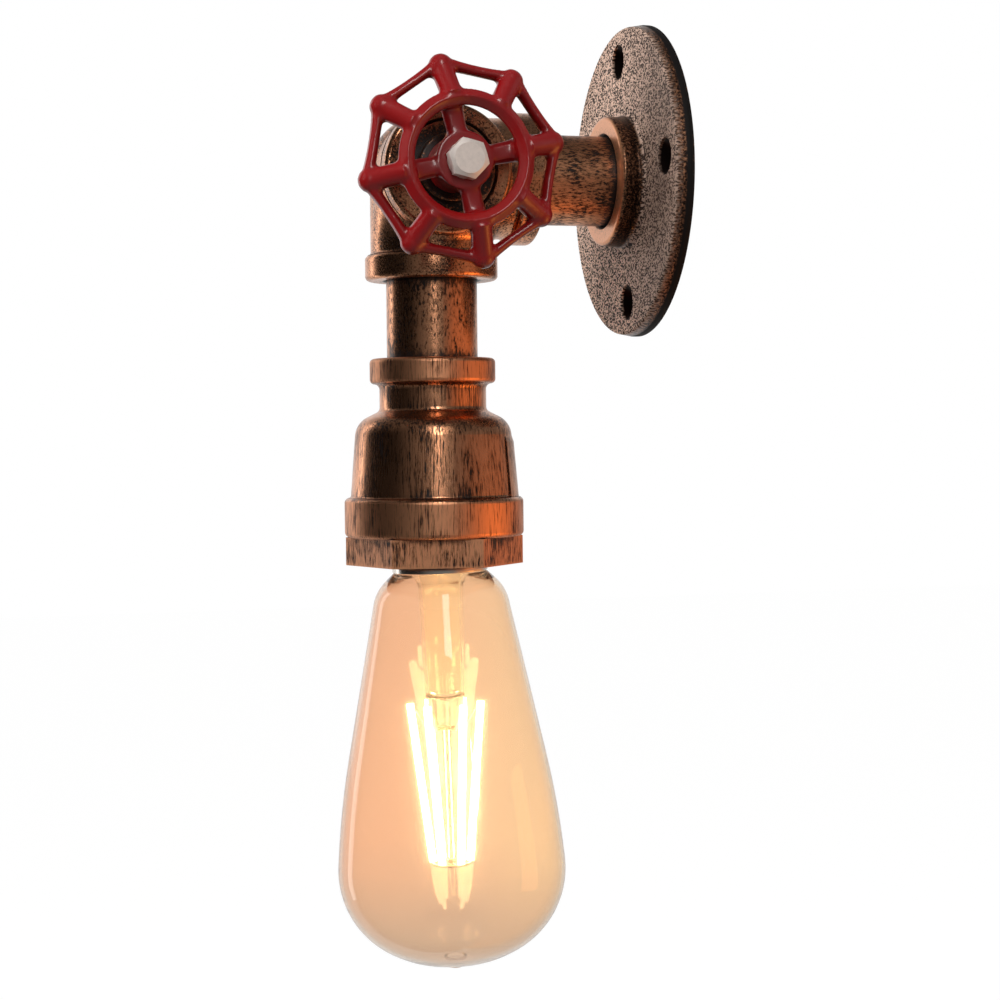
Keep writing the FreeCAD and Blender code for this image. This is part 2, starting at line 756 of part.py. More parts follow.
def make_wheel_bolt():
    bolt = new_body("wheel_bolt")
    seat = "(%s + spring_washer_thickness)" % WHEEL_FACE
    top = "(%s + bolt_head_height)" % seat
    corner = "(bolt_across_flats / 2 / cos(30))"
    head = new_sketch(bolt, "XY_Plane", shift=seat)
    add_outline(head, hexagon(corner))
    pad(bolt, head, "bolt_head_height")
    revolve(bolt, rectangle("0", "bolt_radius", "%s - bolt_reach" % SPINDLE_END, "%s + 1" % seat))
    rim = "bolt_across_flats / 2 - bolt_head_chamfer"
    revolve(bolt, [
        (rim, top),
        (rim, top + " + 1"),
        (corner + " + 1", top + " + 1"),
        (corner + " + 1", "%s - (%s + 1 - (%s)) * tan(30)" % (top, corner, rim)),
    ], kind="Groove")
    on_spindle(bolt, turn="wheel_turn + 4")


def make_spring_washer():
    ring = new_body("spring_washer")
    top = "(%s + spring_washer_thickness)" % WHEEL_FACE
    revolve(ring, rectangle("bolt_radius + bolt_hole_gap", "spring_washer_radius", WHEEL_FACE, top))
    slit = new_sketch(ring, "XY_Plane", shift=top + " + 1")
    half = "spring_washer_slit / 2"
    add_outline(slit, rectangle("0", "spring_washer_radius + 1", "-" + half, half))
    pocket(ring, slit, "spring_washer_thickness + 2")
    on_spindle(ring, turn="200")


# ----------------------------------------------------------- bell reducer

def on_drop(body, z, shift="0", turn="0"):
    place(body, "up", y="-arm_length + " + shift, z=z, turn=turn)


def make_bell_reducer():
    reducer = new_body("bell_reducer")
    band_top = "-(reducer_length - mouth_height)"
    bottom = "-reducer_length"
    ledge = "-(reducer_length - bush_thread_length - gasket_thickness" \
        " - holder_flange_thickness - earth_ring_thickness)"
    chamber_top = "(%s + bell_chamber_height)" % ledge
    throat = "(%s + bell_cone_height)" % chamber_top
    mouth_bore = "(bush_thread_radius + thread_gap)"
    revolve(reducer, [
        (THREAD_BORE + " + hub_mouth_chamfer", "0"),
        ("collar_radius", "0", "collar_round"),
        ("collar_radius", "-collar_height", "collar_round"),
        ("neck_radius", "-collar_height", "neck_round"),
        ("neck_radius", "-shoulder_start", "neck_round"),
        ("bell_top_radius", "-shoulder_edge", "shoulder_round"),
        ("bell_base_radius", band_top, "mouth_foot_round"),
        ("mouth_radius", band_top, "mouth_round"),
        ("mouth_radius", bottom, "mouth_round"),
        (mouth_bore + " + hub_mouth_chamfer", bottom),
        (mouth_bore, bottom + " + hub_mouth_chamfer"),
        (mouth_bore, ledge),
        ("bell_chamber_radius", ledge),
        ("bell_chamber_radius", chamber_top),
        ("pipe_bore_radius", throat),
        ("pipe_bore_radius", "-(thread_engagement + thread_runout)"),
        (THREAD_BORE, "-(thread_engagement + thread_runout)"),
        (THREAD_BORE, "-hub_mouth_chamfer"),
    ])
    slope = "(bell_base_radius - bell_top_radius) / (reducer_length - mouth_height - shoulder_edge)"
    rib_head = "(bell_top_radius + (rib_top - shoulder_edge) * %s + rib_rise)" % slope
    rib_root = "(%s + rib_root_cover)" % mouth_bore
    revolve(reducer, [
        (rib_root, "-rib_top"),
        ("(%s - rib_rise)" % rib_head, "-rib_top"),
        (rib_head, "-rib_top - rib_head_fall", "1.5"),
        ("bell_base_radius + rib_rise", band_top + " - 1"),
        (rib_root, band_top + " - 1"),
    ], angle="rib_angle", turn="rib_turn")
    on_drop(reducer, REDUCER_TOP)


def make_hex_bush():
    bush = new_body("hex_bush")
    revolve(bush, [
        ("bush_bore_radius", "-hex_height / 2"),
        ("bush_thread_radius", "-hex_height / 2"),
        ("bush_thread_radius", "bush_thread_length - 1"),
        ("bush_thread_radius - 1", "bush_thread_length"),
        ("bush_bore_radius", "bush_thread_length"),
    ])
    head = new_sketch(bush, "XY_Plane", shift="-hex_height")
    add_outline(head, hexagon("hex_corner_radius"))
    add_circle(head, "bush_bore_radius")
    pad(bush, head, "hex_height")
    on_drop(bush, HEX_TOP, turn="hex_turn")


# ------------------------------------------------------------ lamp holder

def in_holder(body, turn="0"):
    on_drop(body, HOLDER_SEAT, shift="holder_side_play", turn=turn)


WEB_TOP = "(holder_web_bottom + holder_web_thickness)"


def make_lampholder_body():
    holder = new_body("lampholder_body")
    skirt = "-holder_skirt_length"
    revolve(holder, [
        ("holder_bore_radius", skirt),
        ("holder_radius", skirt, "holder_edge_round"),
        ("holder_radius", "0"),
        ("holder_flange_radius", "0", "holder_edge_round"),
        ("holder_flange_radius", "holder_flange_thickness", "holder_edge_round"),
        ("holder_upper_radius", "holder_flange_thickness"),
        ("holder_upper_radius", "holder_height", "holder_edge_round"),
        ("holder_chamber_radius", "holder_height"),
        ("holder_chamber_radius", WEB_TOP),
        ("0", WEB_TOP),
        ("0", "holder_web_bottom"),
        ("holder_bore_radius", "holder_web_bottom"),
    ])
    notch = new_sketch(holder, "XY_Plane", shift="holder_height + 1")
    half = "driver_notch_width / 2"
    far = "holder_upper_radius + 1"
    near = "holder_chamber_radius - 1"
    add_outline(notch, rectangle(near, far, "-" + half, half))
    cut = pocket(holder, notch, "driver_notch_depth + 1")
    spread(holder, [cut], "2")
    holes = new_sketch(holder, "XY_Plane", shift=WEB_TOP)
    add_circle(holes, "rivet_radius + rivet_gap", x="live_rivet_place")
    add_circle(holes, "rivet_radius + rivet_gap", x="-neutral_rivet_place")
    pocket(holder, holes, "holder_web_thickness")
    in_holder(holder)


def make_screw_shell():
    shell = new_body("screw_shell")
    outer = "(holder_bore_radius - shell_gap)"
    inner = "(holder_bore_radius - shell_gap - shell_thickness)"
    top = "holder_web_bottom"
    bottom = "holder_web_bottom - shell_length"
    revolve(shell, [
        (inner, bottom),
        (outer, bottom),
        (outer, top),
        ("shell_lip_radius", top),
        ("shell_lip_radius", top + " - shell_thickness"),
        (inner, top + " - shell_thickness"),
    ])
    hole = new_sketch(shell, "XY_Plane", shift=top)
    add_circle(hole, "rivet_radius + rivet_gap", x="-neutral_rivet_place")
    pocket(shell, hole, "shell_thickness + 0.5")
    in_holder(shell)


def make_centre_contact():
    tongue = new_body("centre_contact")
    profile = new_sketch(tongue, "XZ_Plane", shift="-tongue_width / 2")
    high = "holder_web_bottom"
    low = "(holder_web_bottom - tongue_thickness)"
    tip_high = "(%s - tongue_drop)" % high
    tip_low = "(%s - tongue_drop)" % low
    add_outline(profile, [
        ("tongue_foot_end", high),
        ("4.4", high, "0.8"),
        ("1.6", tip_high, "1.2"),
        ("-2.8", tip_high),
        ("-2.8", tip_low),
        ("1.9", tip_low, "0.8"),
        ("4.7", low, "1.2"),
        ("tongue_foot_end", low),
    ])
    pad(tongue, profile, "tongue_width")
    hole = new_sketch(tongue, "XY_Plane", shift=high)
    add_circle(hole, "rivet_radius + rivet_gap", x="live_rivet_place")
    pocket(tongue, hole, "tongue_thickness + 0.2")
    in_holder(tongue)


def make_terminal(name, rivet_place, turn):
    """A brass block with a lead hole from above and a screw hole from outside."""
    block = new_body(name)
    half = "terminal_width / 2"
    near = "terminal_centre - terminal_length / 2"
    far = "terminal_centre + terminal_length / 2"
    base = new_sketch(block, "XY_Plane", shift=WEB_TOP)
    add_outline(base, rectangle(near, far, "-" + half, half))
    pad(block, base, "terminal_height")
    lead_hole = new_sketch(block, "XY_Plane", shift=WEB_TOP + " + terminal_height")
    add_circle(lead_hole, "lead_hole_radius", x="terminal_centre")
    pocket(block, lead_hole, "core_length + 0.3")
    screw_hole = new_sketch(block, "YZ_Plane", shift=far)
    add_circle(screw_hole, "terminal_screw_radius + terminal_screw_gap", y=SCREW_LEVEL)
    pocket(block, screw_hole, "terminal_screw_length - 1.5")
    rivet_hole = new_sketch(block, "XY_Plane", shift=WEB_TOP + " + rivet_head_thickness")
    add_circle(rivet_hole, "rivet_head_radius + rivet_gap", x=rivet_place)
    pocket(block, rivet_hole, "rivet_head_thickness")
    in_holder(block, turn=turn)


SCREW_LEVEL = "(%s + terminal_height - 1.5)" % WEB_TOP


def make_terminal_screws():
    """Two small cheese-head screws, one for each terminal."""
    screws = new_body("terminal_screws")
    screws.AllowCompound = True
    far = "(terminal_centre + terminal_length / 2)"
    sketch = new_sketch(screws, "XZ_Plane")
    head = "%s + terminal_screw_head_height" % far
    tip = "%s - (terminal_screw_length - 1.5) + 0.2" % far
    add_outline(sketch, [
        (tip, SCREW_LEVEL),
        (head, SCREW_LEVEL),
        (head, SCREW_LEVEL + " + terminal_screw_head_radius"),
        (far, SCREW_LEVEL + " + terminal_screw_head_radius"),
        (far, SCREW_LEVEL + " + terminal_screw_radius"),
        (tip, SCREW_LEVEL + " + terminal_screw_radius"),
    ])
    axis = add_axis(sketch, (tip, SCREW_LEVEL), (head, SCREW_LEVEL))
    screw = screws.newObject("PartDesign::Revolution", "Terminal_screw")
    screw.Profile = (sketch, [""])
    screw.ReferenceAxis = (sketch, [axis])
    screw.Angle = 360
    spread(screws, [screw], "2")
    in_holder(screws)


def make_rivet(name, place_along, clamped):
    """A tubular rivet through the web, holding a terminal to a contact."""
    rivet = new_body(name)
    under = "(holder_web_bottom - %s)" % clamped
    revolve(rivet, [
        ("0", under + " - rivet_head_thickness"),
        ("rivet_head_radius", under + " - rivet_head_thickness"),
        ("rivet_head_radius", under),
        ("rivet_radius", under),
        ("rivet_radius", WEB_TOP),
        ("rivet_head_radius", WEB_TOP),
        ("rivet_head_radius", WEB_TOP + " + rivet_head_thickness"),
        ("0", WEB_TOP + " + rivet_head_thickness"),
    ])
    place(rivet, "up", x=place_along, y="-arm_length + holder_side_play", z=HOLDER_SEAT)


def make_earth_ring():
    """A ring clamped under the reducer's ledge, with a tab bent in over the holder."""
    ring = new_body("earth_ring")
    low = "holder_flange_thickness"
    top = "holder_flange_thickness + earth_ring_thickness"
    revolve(ring, rectangle("earth_ring_inner_radius", "earth_ring_outer_radius", low, top))
    rise = "(holder_height + earth_tab_clearance)"
    profile = new_sketch(ring, "YZ_Plane", shift="-earth_tab_width / 2")
    back = "(earth_ring_inner_radius + earth_ring_thickness)"
    add_outline(profile, [
        ("earth_ring_inner_radius", low),
        (back, low),
        (back, rise + " + earth_ring_thickness"),
        ("earth_tab_reach", rise + " + earth_ring_thickness"),
        ("earth_tab_reach", rise),
        ("earth_ring_inner_radius", rise),
    ])
    pad(ring, profile, "earth_tab_width")
    on_drop(ring, HOLDER_SEAT)


# ------------------------------------------------------------------ leads

def tube_path(points, radii):
    """Straight runs joined by tangent arcs through a list of points."""
    edges = []
    start = points[0]
    for i in range(1, len(points) - 1):
        before = (points[i] - points[i - 1]).normalize()
        after = (points[i + 1] - points[i]).normalize()
        turn = before.getAngle(after)
        reach = radii[i - 1] * math.tan(turn / 2)
        first = points[i] - before * reach
        last = points[i] + after * reach
        inward = (after - before).normalize()
        centre = points[i] + inward * (radii[i - 1] / math.cos(turn / 2))
        middle = centre - inward * radii[i - 1]
        edges.append(Part.LineSegment(start, first).toShape())
        edges.append(Part.Arc(first, middle, last).toShape())
        start = last
    edges.append(Part.LineSegment(start, points[-1]).toShape())
    return Part.Wire(edges)


def make_lead(name, points, radii, core):
    """An insulated lead along its route, with its bare end pushed into a terminal."""
    path = tube_path(points, radii)
    first = (points[1] - points[0]).normalize()
    ring = Part.Wire([Part.Circle(points[0], first, value("lead_radius")).toShape()])
    tube = path.makePipeShell([ring], True, False)
    end = (points[-1] - points[-2]).normalize()
    if core > 0:
        tube = tube.fuse(Part.makeCylinder(value("core_radius"), core, points[-1], end))
    lead = doc.addObject("Part::Feature", "Lead_" + name)
    lead.Shape = tube
    keep(lead, name)


def make_leads():
    drop = -value("arm_length")
    lane = value("lead_drop")
    start = -value("nipple_setback")
    play = value("holder_side_play")
    bend, fan = value("lead_bend_radius"), value("lead_fan_radius")
    throat = value(HOLDER_SEAT) + value("holder_height + lead_throat_rise")
    block_top = value("%s + %s + terminal_height" % (HOLDER_SEAT, WEB_TOP))
    fan_low = block_top + value("lead_fan_rise")
    for name, side in (("live_lead", 1), ("neutral_lead", -1)):
        x = side * value("lead_spacing")
        end_x = side * value("terminal_centre")
        make_lead(name, [
            Vector(x, start, -lane),
            Vector(x, drop + lane, -lane),
            Vector(x, drop + lane, throat),
            Vector(end_x, drop + play, fan_low),
            Vector(end_x, drop + play, block_top + value("lead_end_gap")),
        ], [bend, fan, fan], value("core_length"))
    tab_top = value("%s + holder_height + earth_tab_clearance + earth_ring_thickness" % HOLDER_SEAT)
    tab_y = drop + value("earth_tab_reach") + value("lead_radius")
    make_lead("earth_lead", [
        Vector(0, start, -lane),
        Vector(0, drop + lane, -lane),
        Vector(0, drop + lane, tab_top + value("earth_lead_rise")),
        Vector(0, tab_y, tab_top + value("earth_lead_foot")),
        Vector(0, tab_y, tab_top),
    ], [bend, fan, value("earth_lead_bend")], 0)


# ------------------------------------------------------------------- bulb

def in_bulb(body, turn="0"):
    place(
        body, "up", y="-arm_length + bulb_side_play", z=BULB_RIM, turn=turn, lean="bulb_lean"
    )


def make_bulb_cap():
    cap = new_body("bulb_cap")
    inside = "(cap_radius - cap_wall)"
    revolve(cap, [
        (inside, "0"),
        ("cap_rim_radius", "0", "0.25"),
        ("cap_rim_radius", "cap_rim_height"),
        ("cap_radius", "cap_rim_height + 0.3"),
        ("cap_radius", "cap_height", "1.2"),
        ("cap_top_radius", "cap_top_height"),
        ("cap_top_radius - 0.7", "cap_top_height"),
        (inside, "cap_height - cap_wall", "0.7"),
    ])
    in_bulb(cap)


def make_cap_insulator():
    plug = new_body("cap_insulator")
    revolve(plug, [
        ("0", "cap_top_height - 0.8"),
        ("cap_top_radius - 1.4", "cap_top_height - 0.8"),
        ("cap_top_radius - 0.8", "cap_top_height"),
        ("cap_top_radius", "cap_top_height"),
        ("insulator_tip_radius", "cap_top_height + insulator_height", "0.6"),
        ("0", "cap_top_height + insulator_height"),
    ])
    in_bulb(plug)


def make_cap_contact():
    button = new_body("cap_contact")
    foot = "(cap_top_height + insulator_height)"
    top = "(%s + contact_height)" % foot
    revolve(button, [
        ("0", foot),
        ("contact_radius", foot),
        ("contact_radius", top, "1.2"),
        ("0", top),
    ])
    in_bulb(button)


def make_bulb_glass():
    """A pear-shaped envelope of even wall, open at its neck inside the cap."""
    glass = new_body("bulb_glass")
    wall = "glass_wall"
    neck_inner = "(glass_neck_radius - glass_wall)"
    floor = "-glass_floor_drop"
    tip = "-(glass_floor_drop + glass_tip_drop)"
    revolve(glass, [
        (neck_inner, "glass_neck_depth"),
        ("glass_neck_radius", "glass_neck_depth"),
        ("glass_neck_radius", "-0.05"),
        ("glass_neck_radius + 1.1", "-0.05", "0.4"),
        ("glass_shoulder_radius", "-glass_shoulder_drop", "glass_shoulder_round"),
        ("glass_waist_radius", "-glass_waist_drop", "glass_waist_round"),
        ("glass_belly_radius", "-glass_belly_drop", "glass_belly_round"),
        ("glass_floor_radius", floor, "glass_floor_round"),
        ("glass_tip_radius * 0.6", floor),
        ("glass_tip_radius * 0.5", tip, "1.4"),
        ("0", tip),
        ("0", floor + " + " + wall),
        ("glass_floor_radius - 0.4 * glass_wall", floor + " + " + wall, "glass_floor_round - glass_wall"),
        (
            "glass_belly_radius - 1.12 * glass_wall",
            "-glass_belly_drop + 0.3 * glass_wall",
            "glass_belly_round - glass_wall",
        ),
        ("glass_waist_radius - 1.02 * glass_wall", "-glass_waist_drop", "glass_waist_round"),
        (
            "glass_shoulder_radius - 1.1 * glass_wall",
            "-glass_shoulder_drop - 0.3 * glass_wall",
            "glass_shoulder_round - glass_wall",
        ),
        (neck_inner, "-0.5 * glass_wall", "0.8"),
    ])
    in_bulb(glass)


def make_glass_stem():
    """The flared glass tube that carries the filaments, pressed flat at its end."""
    stem = new_body("glass_stem")
    end = "-stem_length"
    revolve(stem, [
        ("stem_radius - stem_wall", "-2", "4"),
        ("stem_flare_radius - stem_wall", "stem_flare_height - 0.4"),
        ("stem_flare_radius", "stem_flare_height - 0.4"),
        ("stem_radius", "-3", "4"),
        ("stem_end_radius", end),
        ("0", end + " - 2"),
        ("0", end + " - 0.5"),
        ("stem_end_radius - stem_wall", end + " + 1"),
    ])
    press = new_sketch(stem, "XY_Plane", shift=end + " - pinch_length")
    add_outline(press, rectangle(
        "-pinch_thickness / 2", "pinch_thickness / 2", "-pinch_width / 2", "pinch_width / 2", "1.4"
    ))
    pad(stem, press, "pinch_length")
    post = new_sketch(stem, "XY_Plane", shift="-anchor_post_drop")
    add_circle(post, "anchor_post_radius")
    pad(stem, post, "anchor_post_drop - stem_length - 2")
    in_bulb(stem)


def make_filaments():
    """Thin glowing rods standing in a ring that narrows towards its foot."""
    rods = new_body("led_filaments")
    rods.AllowCompound = True
    run = "(filament_top_spread - filament_foot_spread)"
    fall = "(filament_foot_drop - filament_top_drop)"
    rod = primitive(
        rods, "AdditiveCylinder",
        {"Radius": "filament_radius", "Height": "sqrt(%s ^ 2 + %s ^ 2)" % (run, fall)},
        x="filament_foot_spread", z="-filament_foot_drop", about=(0, 1, 0), angle="atan(%s / %s)" % (run, fall),
    )
    spread(rods, [rod], "filament_count")
    in_bulb(rods, turn="15")


def make_filament_wires():
    """Upper carrier wires from the pinch, and a lower hoop with its spokes."""
    count = int(value("filament_count"))
    thick = value("support_wire_radius")
    top = -value("filament_top_drop")
    foot = -value("filament_foot_drop")
    near = value("filament_top_spread") - value("filament_radius")
    pinch = -value("stem_length") - value("pinch_length")
    post = value("anchor_post_radius")
    hoop = value("filament_foot_spread")
    wires = []
    for k in range(count):
        angle = math.radians(15 + 360.0 * k / count)
        across = Vector(math.cos(angle), math.sin(angle), 0)
        level = Vector(0, 0, pinch - 0.8)
        root = across * (post + thick) + level
        knee = across * (0.6 * near) + level
        upper = across * (near - 0.75) + Vector(0, 0, top - 2)
        for low, high in ((root, knee), (knee, upper)):
            wires.append(Part.makeCylinder(thick, (high - low).Length, low, high - low))
        wires.append(Part.makeSphere(thick, knee))
    collar = Part.makeCylinder(post + 2 * thick, 1.0, Vector(0, 0, pinch - 1.3))
    collar = collar.cut(Part.makeCylinder(post + 0.02, 1.0, Vector(0, 0, pinch - 1.3)))
    ring = Part.makeTorus(hoop, thick, Vector(0, 0, foot - thick - 0.2))
    spokes = [
        Part.makeCylinder(
            thick, hoop - post - 0.02,
            Vector(math.cos(turn), math.sin(turn), 0) * (post + 0.02) + Vector(0, 0, foot - thick - 0.2),
            Vector(math.cos(turn), math.sin(turn), 0),
        )
        for turn in (0, math.pi)
    ]
    group = Part.makeCompound([collar.multiFuse(wires), ring.multiFuse(spokes)])
    feature = doc.addObject("Part::Feature", "Filament_wires")
    feature.Shape = group
    in_bulb(keep(feature, "filament_wires"))


def make_driver_board():
    board = new_body("driver_board")
    disc = new_sketch(board, "XY_Plane", shift="board_height")
    add_circle(disc, "board_radius")
    pad(board, disc, "board_thickness")
    can = new_sketch(board, "XY_Plane", shift="board_height + board_thickness")
    add_circle(can, "capacitor_radius", x="3")
    pad(board, can, "capacitor_height")
    in_bulb(board)


# --------------------------------------------------------------- assembly

make_wall_flange()
pipe_nipple(
    "wall_nipple", "nipple_setback", "(arm_length - elbow_reach + thread_engagement)", along="out"
)
make_elbow()
make_gland_bush()
make_spindle()
make_thrust_washer()
make_handwheel()
make_spring_washer()
make_wheel_bolt()
pipe_nipple(
    "drop_nipple",
    "-(elbow_reach + drop_gap + thread_engagement)", "-(elbow_reach - thread_engagement)",
    y="-arm_length",
)
make_bell_reducer()
make_hex_bush()
gasket = washer(
    "holder_gasket", "gasket_inner_radius", "gasket_outer_radius", "-gasket_thickness", "0"
)
on_drop(gasket, HOLDER_SEAT)
make_lampholder_body()
make_screw_shell()
make_centre_contact()
make_terminal("live_terminal", "live_rivet_place", "0")
make_terminal("neutral_terminal", "neutral_rivet_place", "180")
make_terminal_screws()
make_rivet("live_rivet", "live_rivet_place", "tongue_thickness")
make_rivet("neutral_rivet", "-neutral_rivet_place", "shell_thickness")
make_earth_ring()
make_leads()
make_bulb_cap()
make_cap_insulator()
make_cap_contact()
make_bulb_glass()
make_glass_stem()
make_filaments()
make_filament_wires()
make_driver_board()

doc.recompute()

failed = [
    item.Name for item in doc.Objects if "Invalid" in item.State or "Error" in item.State
]
if failed:
    raise SystemExit("failed objects: " + ", ".join(failed))
for piece in parts:
    if piece.Shape.isNull() or not piece.Shape.isValid():
        raise SystemExit("bad shape: " + piece.Label)

os.makedirs("parts", exist_ok=True)
for piece in parts:
    piece.Shape.exportStep("parts/%s.step" % piece.Label)
    box = piece.Shape.BoundBox
    print("%-18s solids %d volume %9.1f  x %.1f..%.1f y %.1f..%.1f z %.1f..%.1f" % (
        piece.Label, len(piece.Shape.Solids), piece.Shape.Volume,
        box.XMin, box.XMax, box.YMin, box.YMax, box.ZMin, box.ZMax,
    ))
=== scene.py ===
import json
import math

import bmesh
import bpy
import numpy
from mathutils import Matrix, Vector


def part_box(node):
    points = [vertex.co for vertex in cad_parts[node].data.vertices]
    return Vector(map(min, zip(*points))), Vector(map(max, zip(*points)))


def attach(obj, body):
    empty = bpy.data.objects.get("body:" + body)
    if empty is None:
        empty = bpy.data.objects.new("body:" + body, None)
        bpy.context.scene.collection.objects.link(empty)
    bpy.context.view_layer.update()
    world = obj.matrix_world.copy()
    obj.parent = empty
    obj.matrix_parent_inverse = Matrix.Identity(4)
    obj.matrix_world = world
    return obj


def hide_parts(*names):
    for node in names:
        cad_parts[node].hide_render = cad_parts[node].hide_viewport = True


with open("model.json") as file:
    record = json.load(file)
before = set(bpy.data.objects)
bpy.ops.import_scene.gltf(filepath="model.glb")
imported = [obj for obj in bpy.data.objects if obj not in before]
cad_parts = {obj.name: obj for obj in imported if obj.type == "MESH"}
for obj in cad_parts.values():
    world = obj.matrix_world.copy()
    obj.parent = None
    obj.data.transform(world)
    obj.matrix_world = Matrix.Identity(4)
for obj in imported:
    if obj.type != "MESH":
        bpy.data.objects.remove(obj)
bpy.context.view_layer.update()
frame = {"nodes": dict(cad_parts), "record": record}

# A wall light of threaded pipe fittings, lit, against a white background.
# Lengths are written in millimetres and turned into metres by MM. Only the
# studio round the light is written in metres. The wall fills +Y, the arm
# reaches out along -Y and the hand wheel faces +X.

MM = 0.001
nodes = frame["nodes"]

# ------------------------------------------------------- sizes of the object
ARM_LENGTH = 63.2
WHEEL_FACE = 38.6
WHEEL_LENGTH = 13.3
WHEEL_TURN = 12.5  # degrees from square, at rest
WHEEL_BORE_RADIUS = 6.15
WHEEL_WEB = 2.0
BOLT_HOLE_RADIUS = 3.2
BOLT_FACE_RADIUS = 4.1
BOLT_CHAMFER = 1.4
BULB_LEAN = 1.7  # degrees out of true
BULB_AXIS_Y = -61.7
BULB_RIM_Z = -112.7

# The bulb's cap: radii, then heights above its rim.
CAP_BEAD = 13.7
CAP_NECK = 13.45
CAP_CREST = 13.0
CAP_INSIDE = 12.5
CAP_HEIGHT = 22.0
CAP_THREAD_PITCH = 3.629
CAP_THREAD_DEPTH = 0.8
THREADED_LOW = 3.4
THREADED_HIGH = 19.0
THREAD_RISES_AT = 3.2
THREAD_DIES_AT = 19.4
THREAD_EASE = 1.6
THREAD_ROWS = 52

# Where the flange's finish changes, each from one value to another: radii, then places along Y, then
# the way across its face along X, over which painted light grows towards -X.
OUTSIDE_HUB = (19.0, 19.6)
OUTSIDE_HOLES = (41.2, 42.0)
INSIDE_RIM = (44.9, 44.45)
AT_RIM = (44.9, 45.05)
OFF_BACK = (-1.0, -2.0)
ON_FACE = (-4.2, -4.9)
HUB_FRONT = (-10.8, -11.3)
# painted light across the face, brightest towards -X
PAINTED_LIGHT_SIDE = (31.25, -12.5)

# ------------------------------------------------------------ the photograph
FRAME_PIXELS = 1000
FOCAL_PIXELS = 2076.1
CAMERA_PLACE = (578.0, -210.0, -74.0)
CAMERA_YAW = 0.28047
CAMERA_PITCH = -0.03094
CAMERA_ROLL = -0.01102
SENSOR_WIDTH = 36.0


# ------------------------------------------------------------ small helpers

def feed(tree, socket, given):
    """Link a socket to a node or one of its outputs, or give it a plain value."""
    if isinstance(given, bpy.types.Node):
        given = given.outputs[0]
    if isinstance(given, bpy.types.NodeSocket):
        tree.links.new(given, socket)
    elif socket.type == "RGBA" and len(given) == 3:
        socket.default_value = (*given, 1.0)
    else:
        socket.default_value = given


def dress(tree, node, **inputs):
    """Feed a node's inputs by name, with _ for each space."""
    for name, given in inputs.items():
        feed(tree, node.inputs[name.replace("_", " ")], given)
    return node


def add(tree, kind, **inputs):
    """Add a node and feed its inputs by name."""
    return dress(tree, tree.nodes.new(kind), **inputs)


def add_in_turn(tree, kind, *inputs):
    """Add a node and feed its inputs in turn."""
    node = tree.nodes.new(kind)
    for socket, given in zip(node.inputs, inputs):
        feed(tree, socket, given)
    return node


def maths(tree, operation, first, second=0.0, third=0.0):
    """One sum on up to three values."""
    node = add_in_turn(tree, "ShaderNodeMath", first, second, third)
    node.operation = operation
    return node.outputs[0]


def times(tree, first, *others):
    """The product of all of these."""
    for other in others:
        first = maths(tree, "MULTIPLY", first, other)
    return first


def with_share(tree, base, part, share):
    """The base, with a share of the part on top."""
    return maths(tree, "MULTIPLY_ADD", part, share, base)


def opposite(tree, share):
    return maths(tree, "SUBTRACT", 1.0, share)


def steps(tree, factor, *stops):
    """A ramp of greys. Each stop is (place, grey)."""
    ramp = add_in_turn(tree, "ShaderNodeValToRGB", factor)
    band = ramp.color_ramp
    while len(band.elements) < len(stops):
        band.elements.new(0.5)
    for element, (place, tone) in zip(band.elements, stops):
        element.position = place
        element.color = (tone, tone, tone, 1.0)
    return ramp.outputs[0]


def ramped(tree, given, low, high):
    """Nought up to low, one from high on; finer than a colour ramp can step."""
    return add_in_turn(tree, "ShaderNodeMapRange", given, low, high, 0.0, 1.0).outputs[0]


def blend_colour(tree, factor, first, second):
    """The first colour where the factor is nought, the second where it is one."""
    node = tree.nodes.new("ShaderNodeMix")
    node.data_type = "RGBA"
    for place, given in ((0, factor), (6, first), (7, second)):
        feed(tree, node.inputs[place], given)
    return node.outputs[2]


def noise(tree, where, scale, detail, roughness, stretch=(1, 1, 1), shift=(0, 0, 0)):
    """Noise in object space; stretch squeezes it along each axis."""
    mapping = add(tree, "ShaderNodeMapping", Vector=where, Scale=stretch, Location=shift)
    node = add(
        tree, "ShaderNodeTexNoise",
        Vector=mapping, Scale=scale, Detail=detail, Roughness=roughness,
    )
    return node.outputs[0]


def cleared(owner):
    """The node tree of a material or a world, emptied."""
    owner.use_nodes = True
    owner.node_tree.nodes.clear()
    return owner.node_tree


def new_material(name):
    """A material with its tree, its main shader and its object coordinates."""
    material = bpy.data.materials.new(name)
    tree = cleared(material)
    main = tree.nodes.new("ShaderNodeBsdfPrincipled")
    add(tree, "ShaderNodeOutputMaterial", Surface=main)
    where = tree.nodes.new("ShaderNodeTexCoord").outputs["Object"]
    return material, tree, main, where


def bump(tree, main, height, strength, depth):
    """Raise the surface by the height, to a depth in millimetres."""
    node = add(tree, "ShaderNodeBump", Strength=strength, Distance=depth * MM, Height=height)
    dress(tree, main, Normal=node)


def placed(name, data):
    """A new object in the scene, made of this mesh, lamp or camera."""
    made = bpy.data.objects.new(name, data)
    bpy.context.scene.collection.objects.link(made)
    return made


def cut_by(piece, cutter, operation):
    """Cut a piece by another, which is then thrown away."""
    cut = piece.modifiers.new("cut", "BOOLEAN")
    cut.operation = operation
    cut.object = cutter
    cut.solver = "EXACT"
    graph = bpy.context.evaluated_depsgraph_get()
    mesh = bpy.data.meshes.new_from_object(piece.evaluated_get(graph), depsgraph=graph)
    piece.modifiers.remove(cut)
    old = piece.data
    piece.data = mesh
    bpy.data.meshes.remove(old)
    bpy.data.objects.remove(cutter)


def rework(mesh, change):
    """Make one change to the corners or faces of a mesh."""
    work = bmesh.new()
    work.from_mesh(mesh)
    change(work)
    work.to_mesh(mesh)
    work.free()


# ---------------------------------------------------------------- finishes

